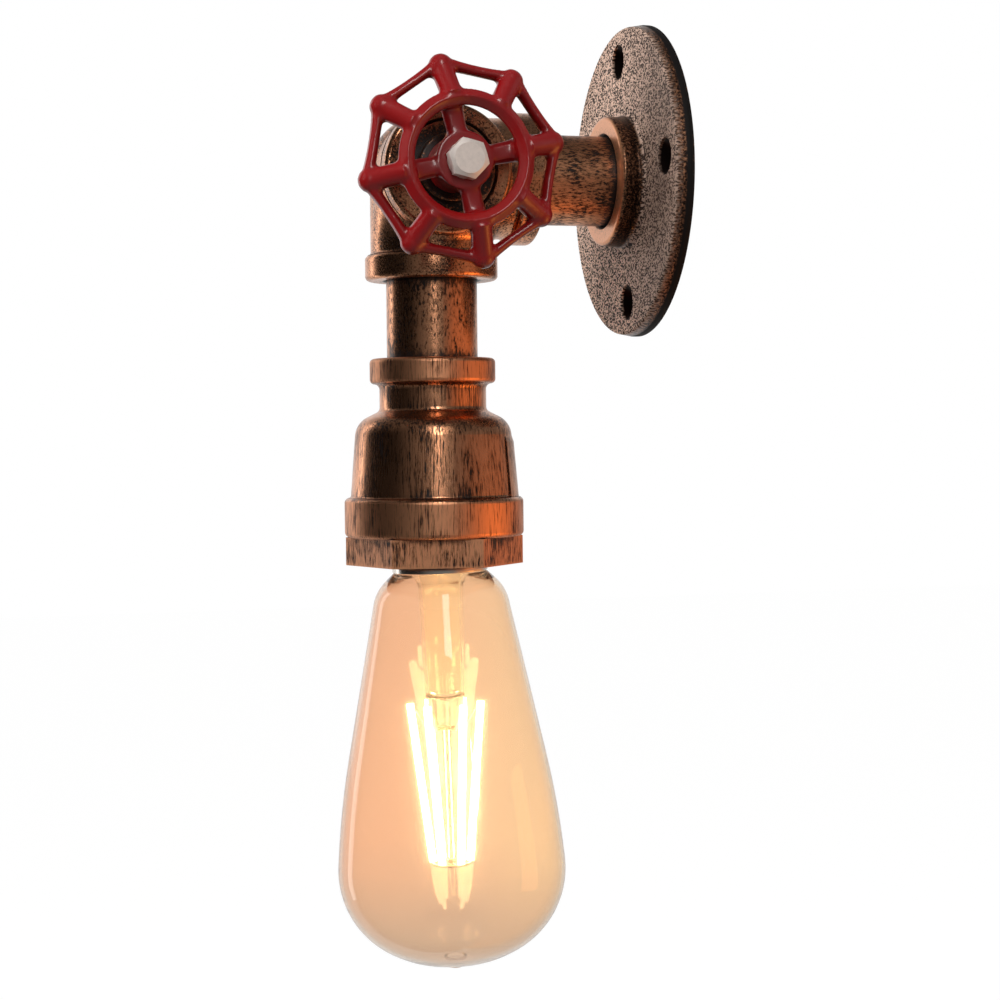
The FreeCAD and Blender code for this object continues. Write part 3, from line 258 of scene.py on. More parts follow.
DARK_BASE = (0.010, 0.0055, 0.0045)
BROWN_MID = (0.042, 0.015, 0.0075)
COPPER_BRIGHT = (0.74, 0.345, 0.185)
GREY_BRIGHT = (0.86, 0.61, 0.485)
CAST_DARK = (0.022, 0.014, 0.012)
RIM_BLACK = (0.006, 0.005, 0.005)
ENAMEL_DEEP = (0.19, 0.0028, 0.0036)
ENAMEL_BRIGHT = (0.24, 0.0036, 0.0048)
# painted light on the bulb's glass: a warm glow towards its wall side, and painted shade at its tip
GLASS_WARM_GLOW = (0.99, 0.80, 0.585)
GLASS_TIP_SHADE = (0.79, 0.655, 0.53)
GLASS_INDEX = 1.45


def crowding(tree, reach, inside, crowded, open_air):
    """One where faces crowd each other within reach, nought in the open."""
    shade = add(tree, "ShaderNodeAmbientOcclusion", Distance=reach * MM)
    shade.samples = 6
    shade.inside = inside
    return steps(tree, shade.outputs["AO"], (crowded, 1.0), (open_air, 0.0))


def shade_in_corners(tree, reach):
    """Painted shade: one deep in corners, nought on open faces."""
    return crowding(tree, reach, False, 0.35, 0.85)


def rubbed_edges(tree, reach):
    """Wear: one on sharp outer edges, nought on faces."""
    return crowding(tree, reach, True, 0.55, 0.85)


def raised_share(tree, where, rims):
    """One on the raised rims, which a brush reaches first; rims are (low, high) in z."""
    axes = add_in_turn(tree, "ShaderNodeSeparateXYZ", where)
    share = 0.0
    for low, high in rims:
        above = maths(tree, "GREATER_THAN", axes.outputs[2], low)
        below = maths(tree, "LESS_THAN", axes.outputs[2], high)
        share = with_share(tree, share, above, below)
    return share


def aged_copper(name, streak=(1, 1, 1), scale=1500, wear=0.0, seed=0.0, rims=(), matte=0.0):
    """Near-black paint with copper brushed over it, thinned by wear in streaks or specks, with
    painted shade deep in its corners.

    The streak stretches the grain, more wear bares more copper, the seed moves
    the pattern, the rims stand raised and matte dulls the whole.
    """
    material, tree, main, where = new_material(name)
    raised = raised_share(tree, where, rims)
    shift = (seed, seed * 1.7, seed * 0.6)
    fine = noise(tree, where, scale, 6.0, 0.72, streak, shift)
    broad = noise(tree, where, 120, 3.0, 0.6, (1, 1, 0.7), shift)
    wear_and_shade = with_share(tree, fine, maths(tree, "SUBTRACT", broad, 0.5), 0.42)
    # painted shade: less copper and darker paint deep in corners
    wear_and_shade = with_share(tree, wear_and_shade, shade_in_corners(tree, 4.0), -0.3)
    wear_and_shade = with_share(tree, wear_and_shade, rubbed_edges(tree, 1.2), 0.16)
    wear_and_shade = maths(tree, "ADD", with_share(tree, wear_and_shade, raised, 0.05), wear)
    cover = steps(tree, wear_and_shade, (0.40, 0.0), (0.47, 0.7), (0.54, 1.0))
    paint = blend_colour(tree, cover, DARK_BASE, BROWN_MID)
    shine = steps(tree, wear_and_shade, (0.41, 0.0), (0.48, 0.6), (0.58, 1.0))
    polish = steps(tree, shine, (0.0, 0.34 + matte), (1.0, 0.23 + matte))
    dress(
        tree, main,
        Base_Color=blend_colour(tree, shine, paint, COPPER_BRIGHT),
        Metallic=steps(tree, wear_and_shade, (0.36, 0.2), (0.42, 1.0)),
        Roughness=with_share(tree, polish, raised, 0.19),
    )
    bump(tree, main, fine, 0.1, 0.1)
    return material


def flange_finish():
    """Pebbled cast face, paled by wear on its tops and by painted light towards -x, with painted
    shade in corners and holes, a black rim and a copper hub.
    """
    material, tree, main, where = new_material("cast_flange")
    x, y, z = add_in_turn(tree, "ShaderNodeSeparateXYZ", where).outputs
    radius = maths(tree, "ADD", times(tree, x, x), times(tree, z, z))
    radius = maths(tree, "SQRT", radius)

    def past(given, change):
        """Nought before a change of finish, one after it."""
        return ramped(tree, given, change[0] * MM, change[1] * MM)

    # in from the rim, only the screw holes, the bore and the back lie behind the face
    unsunk = maths(tree, "MAXIMUM", past(y, ON_FACE), past(radius, OUTSIDE_HOLES))
    face = times(tree, past(radius, OUTSIDE_HUB), past(radius, INSIDE_RIM), unsunk, past(y, OFF_BACK))
    at_rim = past(radius, AT_RIM)
    # painted shade, deep in the flange's corners
    corner_shade = shade_in_corners(tree, 7.0)

    # short winding ridges, paled by wear on their tops, with painted light growing towards -x and
    # painted shade deep in corners
    ridges = noise(tree, where, 2200, 0.9, 0.4, (0.66, 0.3, 1))
    grains = steps(tree, ridges, (0.46, 0.0), (0.53, 1.0))
    broad = noise(tree, where, 60, 3.0, 0.6, (1, 0.4, 1), (0.3, 0, 0.1))
    pale_and_lit = maths(tree, "MULTIPLY_ADD", broad, 0.5, 0.04)
    pale_and_lit = with_share(tree, pale_and_lit, past(x, PAINTED_LIGHT_SIDE), 0.62)
    tone = maths(tree, "MULTIPLY_ADD", grains, pale_and_lit, 0.06)
    tone = with_share(tree, tone, corner_shade, -0.4)
    cast = blend_colour(tree, steps(tree, tone, (0.03, 0.0), (0.85, 1.0)), CAST_DARK, GREY_BRIGHT)

    # bare copper on the hub's front, painted shade in corners and in the holes, flecks along the rim
    fine = noise(tree, where, 1500, 6.0, 0.7, (1, 1, 1), (2, 1, 3))
    rubbed_and_shaded = with_share(tree, fine, rubbed_edges(tree, 1.2), 0.25)
    rubbed_and_shaded = with_share(tree, rubbed_and_shaded, corner_shade, -0.3)
    wear_and_shade = with_share(tree, rubbed_and_shaded, opposite(tree, unsunk), -0.3)
    wear_and_shade = with_share(tree, wear_and_shade, past(y, HUB_FRONT), 0.36)
    bare = steps(tree, wear_and_shade, (0.46, 0.0), (0.80, 1.0))
    plain = blend_colour(tree, bare, DARK_BASE, COPPER_BRIGHT)
    flecks = steps(tree, rubbed_and_shaded, (0.80, 0.0), (0.97, 0.6))
    rim = blend_colour(tree, flecks, RIM_BLACK, COPPER_BRIGHT)
    plain = blend_colour(tree, at_rim, plain, rim)

    shine = maths(tree, "MAXIMUM", times(tree, face, times(tree, tone, 0.6)), opposite(tree, face))
    rough = maths(tree, "MAXIMUM", times(tree, at_rim, 0.6), times(tree, face, 0.62))
    dress(
        tree, main,
        Base_Color=blend_colour(tree, face, plain, cast),
        Metallic=times(tree, shine, opposite(tree, at_rim), 0.85),
        Roughness=maths(tree, "MAXIMUM", rough, 0.30),
        Specular_IOR_Level=0.12,
    )
    bump(tree, main, with_share(tree, times(tree, grains, face), fine, 0.15), 0.6, 0.2)
    return material


def red_enamel():
    """Thick glossy enamel that follows the slight unevenness of the casting."""
    material, tree, main, where = new_material("red_enamel")
    cloud = noise(tree, where, 140, 2.0, 0.5)
    dress(
        tree, main,
        Base_Color=blend_colour(tree, cloud, ENAMEL_DEEP, ENAMEL_BRIGHT),
        Roughness=0.30,
        Coat_Weight=0.35,
        Coat_Roughness=0.07,
    )
    bump(tree, main, noise(tree, where, 260, 2.0, 0.5), 0.12, 0.4)
    return material


def grained(name, colour, scale, dull):
    """A material whose colour sinks to a dull share of itself in a fine grain."""
    material, tree, main, where = new_material(name)
    grain = noise(tree, where, scale, 3.0, 0.6)
    sunk = tuple(dull * part for part in colour)
    dress(tree, main, Base_Color=blend_colour(tree, grain, sunk, colour))
    return material, tree, main, grain


def plain_metal(name, colour, roughness, scratch=0.2, scale=2200, metallic=1.0):
    """Bare metal with a fine random grain."""
    material, tree, main, grain = grained(name, colour, scale, 0.72)
    rough = steps(tree, grain, (0.2, roughness * 0.75), (0.8, roughness * 1.25))
    dress(tree, main, Metallic=metallic, Roughness=rough)
    bump(tree, main, grain, scratch, 0.03)
    return material


def plain_paint(name, colour, roughness, scale=900, depth=0.15):
    """Plastic, glaze or fibre with a slight mottle."""
    material, tree, main, grain = grained(name, colour, scale, 0.82)
    dress(tree, main, Roughness=roughness)
    bump(tree, main, grain, depth, 0.03)
    return material


def painted_glass_light(tree, colour, axes):
    """Paint light on the bulb's glass: a warm glow making it lighter at its wall side, and painted
    shade making it greyer at its tip.
    """
    aside = ramped(tree, axes[1], (BULB_AXIS_Y - 8) * MM, (BULB_AXIS_Y + 26) * MM)
    colour = blend_colour(tree, aside, colour, GLASS_WARM_GLOW)
    at_tip = ramped(tree, axes[2], -195 * MM, -222 * MM)
    return blend_colour(tree, at_tip, colour, GLASS_TIP_SHADE)


def glass(name, tint, haze, glow, glow_strength, glow_from, glow_to):
    """Thin blown glass, tinted, deeper where it is seen edge on.

    It has a faint painted glow between two depths below the arm. With haze, it is the smoky glass of
    the bulb, a share of it cloudy, with a painted warm glow towards its wall side and painted shade
    at its tip.
    """
    material, tree, main, where = new_material(name)
    axes = add_in_turn(tree, "ShaderNodeSeparateXYZ", where).outputs
    paler = tuple(min(1.0, part * 1.03) for part in tint)
    deeper = tuple(part * part * 0.80 for part in tint)
    colour = blend_colour(tree, noise(tree, where, 18, 2.0, 0.5), tint, paler)
    edge_on = add(tree, "ShaderNodeLayerWeight", Blend=0.25).outputs["Facing"]
    colour = blend_colour(tree, steps(tree, edge_on, (0.25, 0.0), (1.0, 1.0)), colour, deeper)
    if haze:
        colour = painted_glass_light(tree, colour, axes)
    span = glow_to - glow_from
    level = maths(tree, "MULTIPLY_ADD", axes[2], -1000.0 / span, -glow_from / span)
    rise = steps(tree, level, (0.0, 0.1), (0.35, 0.6), (0.62, 1.0), (0.85, 0.4), (1.0, 0.1))
    through = {"Base_Color": colour, "Transmission_Weight": 1.0, "IOR": GLASS_INDEX}
    dress(
        tree, main,
        Roughness=0.0,
        Emission_Color=blend_colour(tree, rise, (0, 0, 0), glow),
        Emission_Strength=glow_strength,
        **through,
    )
    if haze:
        cloudy = add(tree, "ShaderNodeBsdfPrincipled", Roughness=0.32, **through)
        surface = main.outputs[0].links[0].to_socket
        feed(tree, surface, add_in_turn(tree, "ShaderNodeMixShader", haze, main, cloudy))
    return material


def glowing(name, tone, strength):
    """The hot phosphor of a filament stick."""
    material, tree, main, where = new_material(name)
    grain = noise(tree, where, 500, 2.0, 0.5)
    dress(
        tree, main,
        Base_Color=(1.0, 0.8, 0.45),
        Roughness=0.5,
        Emission_Color=blend_colour(tree, grain, tone, (1.0, 0.93, 0.66)),
        Emission_Strength=strength,
    )
    return material


REDUCER_LOW, REDUCER_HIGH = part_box("bell_reducer")
COLLAR = (REDUCER_HIGH.z - 6.9 * MM, REDUCER_HIGH.z + MM)
BAND = (REDUCER_LOW.z - MM, REDUCER_LOW.z + 10.4 * MM)
FINISHES = {
    "wall_flange": flange_finish(),
    "wall_nipple": aged_copper("copper_wall_pipe", (1, 0.3, 1), 1900, -0.005, 1.0, matte=0.08),
    "drop_nipple": aged_copper("copper_drop_pipe", (1, 1, 0.4), 1400, 0.02, 2.0),
    "side_outlet_elbow": aged_copper("copper_elbow", (1, 1, 1), 1700, 0.015, 3.0),
    "bell_reducer": aged_copper("copper_reducer", (1, 1, 0.07), 2100, 0.005, 4.0, (COLLAR, BAND)),
    "hex_bush": aged_copper("copper_hex_bush", (1, 1, 0.12), 1900, 0.0, 5.0, matte=0.2),
    "gland_bush": aged_copper("copper_gland_bush", (1, 1, 1), 1300, -0.10, 6.0),
}
PLAIN_FINISHES = {
    "wheel_enamel": red_enamel(),
    "spindle_steel": plain_metal("turned_steel", (0.45, 0.43, 0.41), 0.35),
    "zinc_steel": plain_metal("bright_zinc", (0.78, 0.70, 0.65), 0.42, 0.06, 900, 0.45),
    "brass": plain_metal("brass", (0.80, 0.56, 0.26), 0.28),
    "gasket_fibre": plain_paint("red_fibre", (0.30, 0.09, 0.06), 0.85),
    "porcelain": plain_paint("porcelain_glaze", (0.86, 0.84, 0.80), 0.15, 200, 0.05),
    "brown_insulation": plain_paint("brown_lead", (0.16, 0.065, 0.03), 0.5),
    "blue_insulation": plain_paint("blue_lead", (0.03, 0.10, 0.42), 0.5),
    "green_insulation": plain_paint("green_lead", (0.06, 0.34, 0.08), 0.5),
    "cap_metal": plain_metal("rolled_cap_metal", (0.86, 0.80, 0.72), 0.22, 0.1),
    "black_glass": plain_paint("black_glass", (0.012, 0.012, 0.014), 0.08, 200, 0.02),
    "amber_glass": glass(
        "amber_glass", (0.965, 0.705, 0.53), 0.09, (1.0, 0.42, 0.16), 0.02, 112.0, 228.0
    ),
    "clear_glass": glass(
        "clear_glass", (1.0, 0.985, 0.90), 0.0, (1.0, 0.84, 0.42), 0.07, 108.0, 200.0
    ),
    "filament_glow": glowing("filament_glow", (1.0, 0.80, 0.42), 12.0),
    "support_wire": plain_metal("support_wire", (0.70, 0.62, 0.50), 0.3),
    "board_green": plain_paint("circuit_board", (0.03, 0.20, 0.09), 0.4),
}
SLOT_OF = {part["node"]: part["material_slot"] for part in frame["record"]["subparts"]}


def finish_for(node_name):
    """A piece's own finish, or else the one of its material slot."""
    return FINISHES.get(node_name) or PLAIN_FINISHES[SLOT_OF[node_name]]


for node_name, node in nodes.items():
    node.data.materials.clear()
    node.data.materials.append(finish_for(node_name))


# ------------------------------------------------------------- hand wheel

WHEEL_SIZES = {
    "Hub Radius": 8.0,
    "Hub Back Radius": 7.4,
    "Hub Length": WHEEL_LENGTH,
    "Ring Radius": 16.6,
    "Ring Width": 4.4,
    "Ring Depth": 4.8,
    "Ring Rise": 1.5,
    "Spoke Width": 5.6,
    "Spoke Depth": 3.4,
    "Spoke Flare": 0.35,
    "Rim Flare": 0.34,
    "Spoke Drop": 2.1,
    "Arm Root": 2.95,
    "Arm Tip": 3.1,
    "Arm Flare": 0.08,
    "Knuckle Radius": 3.45,
    "Node Radius": 27.0,
    "Arm Reach": 25.95,
    "Waist Radius": 24.7,
    "Rim Drop": 3.6,
    "Rim Width": 2.7,
    "Rim Depth": 4.1,
    "Cell": 0.36,
}
SPOKES = 4
SPOKE_START = 2.0
RIM_SIDES = 8
RING_CORNER = 1.9
SPOKE_CORNER = 1.1
RIM_CORNER = 0.9
FLARE_POWER = 2.4
SKIN_BAND = 1.5
SKIN_LEVEL = 0.05

# How the casting is evened out and its inner corners are filled.
EVEN_ROUNDS = 12
EVEN_IN = 0.5
EVEN_OUT = 0.52
FILL_ROUNDS = 220
FILL_SHARE = 0.9
SLIDE_SHARE = 0.2


def wheel_tree():
    """Hub, spokes, ring, arms and rim bars, melted together like one casting."""
    tree = bpy.data.node_groups.new("hand_wheel_casting", "GeometryNodeTree")
    tree.interface.new_socket("Geometry", in_out="OUTPUT", socket_type="NodeSocketGeometry")
    for name in WHEEL_SIZES:
        tree.interface.new_socket(name, in_out="INPUT", socket_type="NodeSocketFloat")
    given = tree.nodes.new("NodeGroupInput").outputs
    output = tree.nodes.new("NodeGroupOutput")

    def size(name):
        """A named size, in metres."""
        return times(tree, given[name], MM)

    def minus(value):
        return times(tree, value, -1.0)

    def point(x=0.0, y=0.0, z=0.0):
        return add_in_turn(tree, "ShaderNodeCombineXYZ", x, y, z).outputs[0]

    def way_along():
        """Nought at a curve's start, one at its end."""
        return tree.nodes.new("GeometryNodeSplineParameter").outputs["Factor"]

    def flared(flare):
        """One at the middle of a curve, and larger towards both ends."""
        from_middle = maths(tree, "MULTIPLY_ADD", way_along(), 2.0, -1.0)
        from_middle = maths(tree, "ABSOLUTE", from_middle)
        return maths(tree, "MULTIPLY_ADD", maths(tree, "POWER", from_middle, FLARE_POWER), flare, 1.0)

    def straight(start, end, count):
        """A straight line of so many points."""
        line = add(tree, "GeometryNodeCurvePrimitiveLine", Start=start, End=end)
        return add(tree, "GeometryNodeResampleCurve", Curve=line, Count=count)

    def carried(section, curve, scale=1.0):
        """Carry a section along a curve, with both ends closed."""
        bar = add(
            tree, "GeometryNodeCurveToMesh",
            Curve=curve, Profile_Curve=section, Scale=scale, Fill_Caps=True,
        )
        return bar.outputs[0]

    def swept(curve, width, depth, corner, scale=1.0):
        """Carry a bar's section with rounded corners along a curve."""
        section = add(tree, "GeometryNodeCurvePrimitiveQuadrilateral", Width=width, Height=depth)
        rounded = add(tree, "GeometryNodeFilletCurve", Curve=section, Radius=corner * MM)
        return carried(rounded, curve, scale)

    def moved(piece, place):
        return add(tree, "GeometryNodeTransform", Geometry=piece, Translation=place).outputs[0]

    def joined(*pieces):
        join = tree.nodes.new("GeometryNodeJoinGeometry")
        for piece in pieces:
            tree.links.new(piece, join.inputs[0])
        return join.outputs[0]

    def round_the_axis(piece, count, start=0.0):
        """Repeat a piece evenly round the wheel's axis."""
        spots = add(tree, "GeometryNodeMeshLine", Count=count, Offset=(0, 0, 0))
        index = tree.nodes.new("GeometryNodeInputIndex")
        angle = maths(tree, "MULTIPLY_ADD", index, 2 * math.pi / count, start)
        copies = add(
            tree, "GeometryNodeInstanceOnPoints",
            Points=spots, Instance=piece, Rotation=point(z=angle),
        )
        return copies.outputs[0]

    # heights are measured from the front face of the hub, which is at zero
    rim_level = minus(size("Rim Drop"))
    spoke_level = minus(size("Spoke Drop"))

    hub = add(
        tree, "GeometryNodeMeshCone",
        Vertices=64,
        Radius_Top=size("Hub Radius"),
        Radius_Bottom=size("Hub Back Radius"),
        Depth=size("Hub Length"),
    )
    hub = moved(hub, point(z=minus(size("Hub Length"))))

    circle = add(
        tree, "GeometryNodeCurvePrimitiveCircle", Resolution=96, Radius=size("Ring Radius")
    )
    ring = swept(circle, size("Ring Width"), size("Ring Depth"), RING_CORNER)
    ring = moved(ring, point(z=size("Ring Rise")))

    spoke_line = straight(
        point(SPOKE_START * MM, 0, spoke_level), point(size("Ring Radius"), 0, spoke_level), 16
    )
    spoke_flare = flared(given["Spoke Flare"])
    spoke = swept(spoke_line, size("Spoke Width"), size("Spoke Depth"), SPOKE_CORNER, spoke_flare)

    arm_end = point(size("Arm Reach"), 0, rim_level)
    arm_line = straight(point(size("Ring Radius"), 0, size("Ring Rise")), arm_end, 8)
    thicker = maths(tree, "SUBTRACT", given["Arm Tip"], given["Arm Root"])
    swell = maths(tree, "MULTIPLY_ADD", way_along(), thicker, given["Arm Root"])
    arm_disc = add(tree, "GeometryNodeCurvePrimitiveCircle", Resolution=32, Radius=MM)
    arm = carried(arm_disc, arm_line, times(tree, swell, flared(given["Arm Flare"])))
    knuckle = add(
        tree, "GeometryNodeMeshUVSphere", Segments=32, Rings=20, Radius=size("Knuckle Radius")
    )
    arm = joined(arm, moved(knuckle, arm_end))

    # each rim bar bows in between two knuckles
    half = math.pi / RIM_SIDES
    end_x = times(tree, size("Node Radius"), math.cos(half))
    end_y = times(tree, size("Node Radius"), math.sin(half))
    middle_x = maths(tree, "SUBTRACT", times(tree, size("Waist Radius"), 2.0), end_x)
    bow = add(
        tree, "GeometryNodeCurveQuadraticBezier",
        Resolution=16,
        Start=point(end_x, minus(end_y), rim_level),
        Middle=point(middle_x, 0, rim_level),
        End=point(end_x, end_y, rim_level),
    )
    rim_flare = flared(given["Rim Flare"])
    bar = swept(bow, size("Rim Width"), size("Rim Depth"), RIM_CORNER, rim_flare)

    whole = joined(
        hub,
        ring,
        round_the_axis(spoke, SPOKES),
        round_the_axis(arm, RIM_SIDES),
        round_the_axis(bar, RIM_SIDES, half),
    )
    real = add(tree, "GeometryNodeRealizeInstances", Geometry=whole)
    cell = size("Cell")
    mass = tree.nodes.new("GeometryNodeMeshToVolume")
    mass.resolution_mode = "VOXEL_SIZE"
    dress(tree, mass, Mesh=real, Voxel_Size=cell, Interior_Band_Width=SKIN_BAND * MM)
    skin = tree.nodes.new("GeometryNodeVolumeToMesh")
    skin.resolution_mode = "VOXEL_SIZE"
    dress(tree, skin, Volume=mass, Voxel_Size=cell, Threshold=SKIN_LEVEL)
    smooth = add(tree, "GeometryNodeSetShadeSmooth", Geometry=skin)
    painted = add(
        tree, "GeometryNodeSetMaterial",
        Geometry=smooth, Material=PLAIN_FINISHES["wheel_enamel"],
    )
    feed(tree, output.inputs[0], painted)
    return tree


def made_by(tree, name, sizes):
    """Run a node tree once with these sizes, and keep its result as a plain mesh."""
    holder = placed(name + "_maker", bpy.data.meshes.new(name + "_maker"))
    modifier = holder.modifiers.new("make", "NODES")
    modifier.node_group = tree
    for socket in tree.interface.items_tree:
        if socket.item_type == "SOCKET" and socket.in_out == "INPUT":
            modifier[socket.identifier] = sizes[socket.name]
    graph = bpy.context.evaluated_depsgraph_get()
    mesh = bpy.data.meshes.new_from_object(holder.evaluated_get(graph), depsgraph=graph)
    holder.modifiers.remove(modifier)
    bpy.data.objects.remove(holder)
    mesh.name = name
    return placed(name, mesh)


def run_together(mesh):
    """Even out a casting, then fill its inner corners, as molten metal does."""
    count = len(mesh.vertices)
    place = numpy.empty(count * 3)
    mesh.vertices.foreach_get("co", place)
    place = place.reshape(count, 3)
    pairs = numpy.empty(len(mesh.edges) * 2, dtype=numpy.int64)
    mesh.edges.foreach_get("vertices", pairs)
    first, second = pairs.reshape(-1, 2).T
    near = numpy.bincount(pairs, minlength=count)
    normal = numpy.empty(count * 3, dtype=numpy.float32)

    def pull(points):
        """The way from each point to the middle of its neighbours."""
        total = numpy.empty_like(points)
        for axis in range(3):
            total[:, axis] = (
                numpy.bincount(first, points[second, axis], count)
                + numpy.bincount(second, points[first, axis], count)
            ) / near
        return total - points

    for _ in range(EVEN_ROUNDS):
        place = place + EVEN_IN * pull(place)
        place = place - EVEN_OUT * pull(place)
    for _ in range(FILL_ROUNDS):
        mesh.vertices.foreach_set("co", place.astype(numpy.float32).ravel())
        mesh.update()
        mesh.vertex_normals.foreach_get("vector", normal)
        outward = normal.reshape(count, 3)
        drift = pull(place)
        along = (drift * outward).sum(1, keepdims=True)
        place = (
            place
            + FILL_SHARE * numpy.maximum(along, 0.0) * outward
            + SLIDE_SHARE * (drift - along * outward)
        )
    mesh.vertices.foreach_set("co", place.astype(numpy.float32).ravel())
    mesh.polygons.foreach_set("use_smooth", [True] * len(mesh.polygons))
    mesh.update()


def bored(piece, radius, low, high):
    """Cut a round hole along the piece's own Z axis."""
    bpy.ops.mesh.primitive_cylinder_add(
        vertices=64,
        radius=radius * MM,
        depth=(high - low) * MM,
        location=(0, 0, (low + high) / 2 * MM),
    )
    cut_by(piece, bpy.context.object, "DIFFERENCE")


def make_hand_wheel():
    """The cast wheel, bored for its spindle and bolt, and turned to face +X."""
    wheel = made_by(wheel_tree(), "hand_wheel_casting", WHEEL_SIZES)
    run_together(wheel.data)
    bored(wheel, WHEEL_BORE_RADIUS, -WHEEL_LENGTH - 1, -WHEEL_WEB)
    bored(wheel, BOLT_HOLE_RADIUS, -WHEEL_WEB - 1, 2.0)
    facing = Matrix.Rotation(math.pi / 2, 4, "Y")
    turn = Matrix.Rotation(math.radians(WHEEL_TURN), 4, "Z")
    place = Matrix.Translation(Vector((WHEEL_FACE, -ARM_LENGTH, 0)) * MM)
    wheel.data.transform(place @ (facing @ turn))
    wheel.data.materials.clear()
    wheel.data.materials.append(PLAIN_FINISHES["wheel_enamel"])
    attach(wheel, "wheel")
    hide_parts("handwheel")


make_hand_wheel()


# ------------------------------------------------------------- wheel bolt

def turned_outline(outline, face_x, around=96):
    """Turn an outline about the wheel's axis into a closed solid.

    Each of its points is (way out from the bolt's face, radius).
    """
    points, faces = [], []
    for along, radius in outline:
        for step in range(around):
            turn = 2 * math.pi * step / around
            y = -ARM_LENGTH * MM + radius * MM * math.cos(turn)
            points.append((face_x + along * MM, y, radius * MM * math.sin(turn)))
    for ring in range(len(outline) - 1):
        for step in range(around):
            here, there = ring * around + step, ring * around + (step + 1) % around
            faces.append((here, there, there + around, here + around))
    faces.append(tuple(reversed(range(around))))
    faces.append(tuple(range(len(points) - around, len(points))))
    mesh = bpy.data.meshes.new("turned_outline")
    mesh.from_pydata(points, [], faces)
    rework(mesh, lambda work: bmesh.ops.recalc_face_normals(work, faces=work.faces))
    return placed("turned_outline", mesh)


def make_wheel_bolt():
    """The wheel's bolt, with the corners of its head turned off at 30 degrees."""
    low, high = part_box("wheel_bolt")
    mesh = nodes["wheel_bolt"].data.copy()
    rework(mesh, lambda work: bmesh.ops.remove_doubles(work, verts=work.verts, dist=0.001 * MM))
    bolt = placed("chamfered_wheel_bolt", mesh)
    slope = math.tan(math.radians(60))
    head_radius = BOLT_FACE_RADIUS + BOLT_CHAMFER * slope
    clear = 0.2
    outline = (
        (clear, BOLT_FACE_RADIUS - clear * slope),
        (0.0, BOLT_FACE_RADIUS),
        (-BOLT_CHAMFER, head_radius),
        (low.x / MM - high.x / MM - 1.0, head_radius),
    )
    cut_by(bolt, turned_outline(outline, high.x), "INTERSECT")
    bolt.data.set_sharp_from_angle(angle=math.radians(20))
    bolt.data.materials.clear()
    bolt.data.materials.append(PLAIN_FINISHES["zinc_steel"])
    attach(bolt, "wheel")
    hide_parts("wheel_bolt")


make_wheel_bolt()


# ---------------------------------------------------------- threaded cap

def threaded_sleeve(name, profile, place, finish, around=96):
    """Turn a closed profile of (radius, height, share of the thread) into a sleeve.

    The thread is a right-hand helix cut inwards from the stated radius.
    """
    points, faces = [], []
    length = len(profile)
    for step in range(around):
        turn = 2 * math.pi * step / around
        for radius, height, share in profile:
            wave = 0.5 - 0.5 * math.cos(2 * math.pi * height / CAP_THREAD_PITCH - turn)
            radius = (radius - share * CAP_THREAD_DEPTH * wave) * MM
            points.append(Vector((radius * math.cos(turn), radius * math.sin(turn), height * MM)))
    for step in range(around):
        here, there = step * length, (step + 1) % around * length
        for row in range(length):
            after = (row + 1) % length
            faces.append((here + row, there + row, there + after, here + after))
    mesh = bpy.data.meshes.new(name)
    mesh.from_pydata([place @ point for point in points], [], faces)
    mesh.polygons.foreach_set("use_smooth", [True] * len(faces))
    mesh.set_sharp_from_angle(angle=math.radians(50))
    mesh.materials.append(finish)
    mesh.update()
    return placed(name, mesh)


def thread_rows(radius):
    """The threaded stretch at one radius; the thread fades in and out at its ends."""
    rows = []
    for row in range(THREAD_ROWS + 1):
        height = THREADED_LOW + (THREADED_HIGH - THREADED_LOW) * row / THREAD_ROWS
        rising, dying = height - THREAD_RISES_AT, THREAD_DIES_AT - height
        rows.append((radius, height, min(1.0, rising / THREAD_EASE, dying / THREAD_EASE)))
    return rows


def make_threaded_cap():
    """The bulb's rolled metal cap: rim bead, four turns of thread, folded top."""
    bead = [(CAP_BEAD, 0.15, 0.0), (CAP_BEAD, 1.9, 0.0), (CAP_NECK, 2.4, 0.0), (CAP_CREST, 2.9, 0.0)]
    outer_top = [(12.9, 19.9, 0.0), (12.2, 20.7, 0.0), (10.2, CAP_HEIGHT, 0.0)]
    inner_top = [(9.6, CAP_HEIGHT, 0.0), (11.9, 20.2, 0.0), (12.45, 19.4, 0.0)]
    rim = [(CAP_INSIDE, 2.6, 0.0), (CAP_INSIDE, 0.0, 0.0), (CAP_NECK, 0.0, 0.0)]
    profile = bead + thread_rows(CAP_CREST) + outer_top
    profile += inner_top + thread_rows(CAP_INSIDE)[::-1] + rim
    lean = Matrix.Rotation(math.radians(BULB_LEAN), 4, "X")
    place = Matrix.Translation(Vector((0, BULB_AXIS_Y, BULB_RIM_Z)) * MM) @ lean
    cap = threaded_sleeve("rolled_bulb_cap", profile, place, PLAIN_FINISHES["cap_metal"])
    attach(cap, "bulb")
    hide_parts("bulb_cap")


make_threaded_cap()


# ------------------------------------------------------------------ camera

def make_camera():
    """A camera where the photograph's stood, with the same lens."""
    sin, cos = math.sin, math.cos
    ahead = Vector((
        -cos(CAMERA_YAW) * cos(CAMERA_PITCH), sin(CAMERA_YAW) * cos(CAMERA_PITCH), sin(CAMERA_PITCH)
    ))
    level = Vector((sin(CAMERA_YAW), cos(CAMERA_YAW), 0))
    tall = level.cross(ahead)
    right = level * cos(CAMERA_ROLL) + tall * sin(CAMERA_ROLL)
    up = tall * cos(CAMERA_ROLL) - level * sin(CAMERA_ROLL)
    data = bpy.data.cameras.new("photo_camera")
    data.sensor_width = SENSOR_WIDTH
    data.lens = FOCAL_PIXELS / FRAME_PIXELS * SENSOR_WIDTH
    data.clip_start = 0.01
    camera = placed("photo_camera", data)
    turn = Matrix((right, up, -ahead)).transposed()
    camera.matrix_world = Matrix.Translation(Vector(CAMERA_PLACE) * MM) @ turn.to_4x4()
    bpy.context.scene.camera = camera


make_camera()


# ------------------------------------------------------- light and backdrop

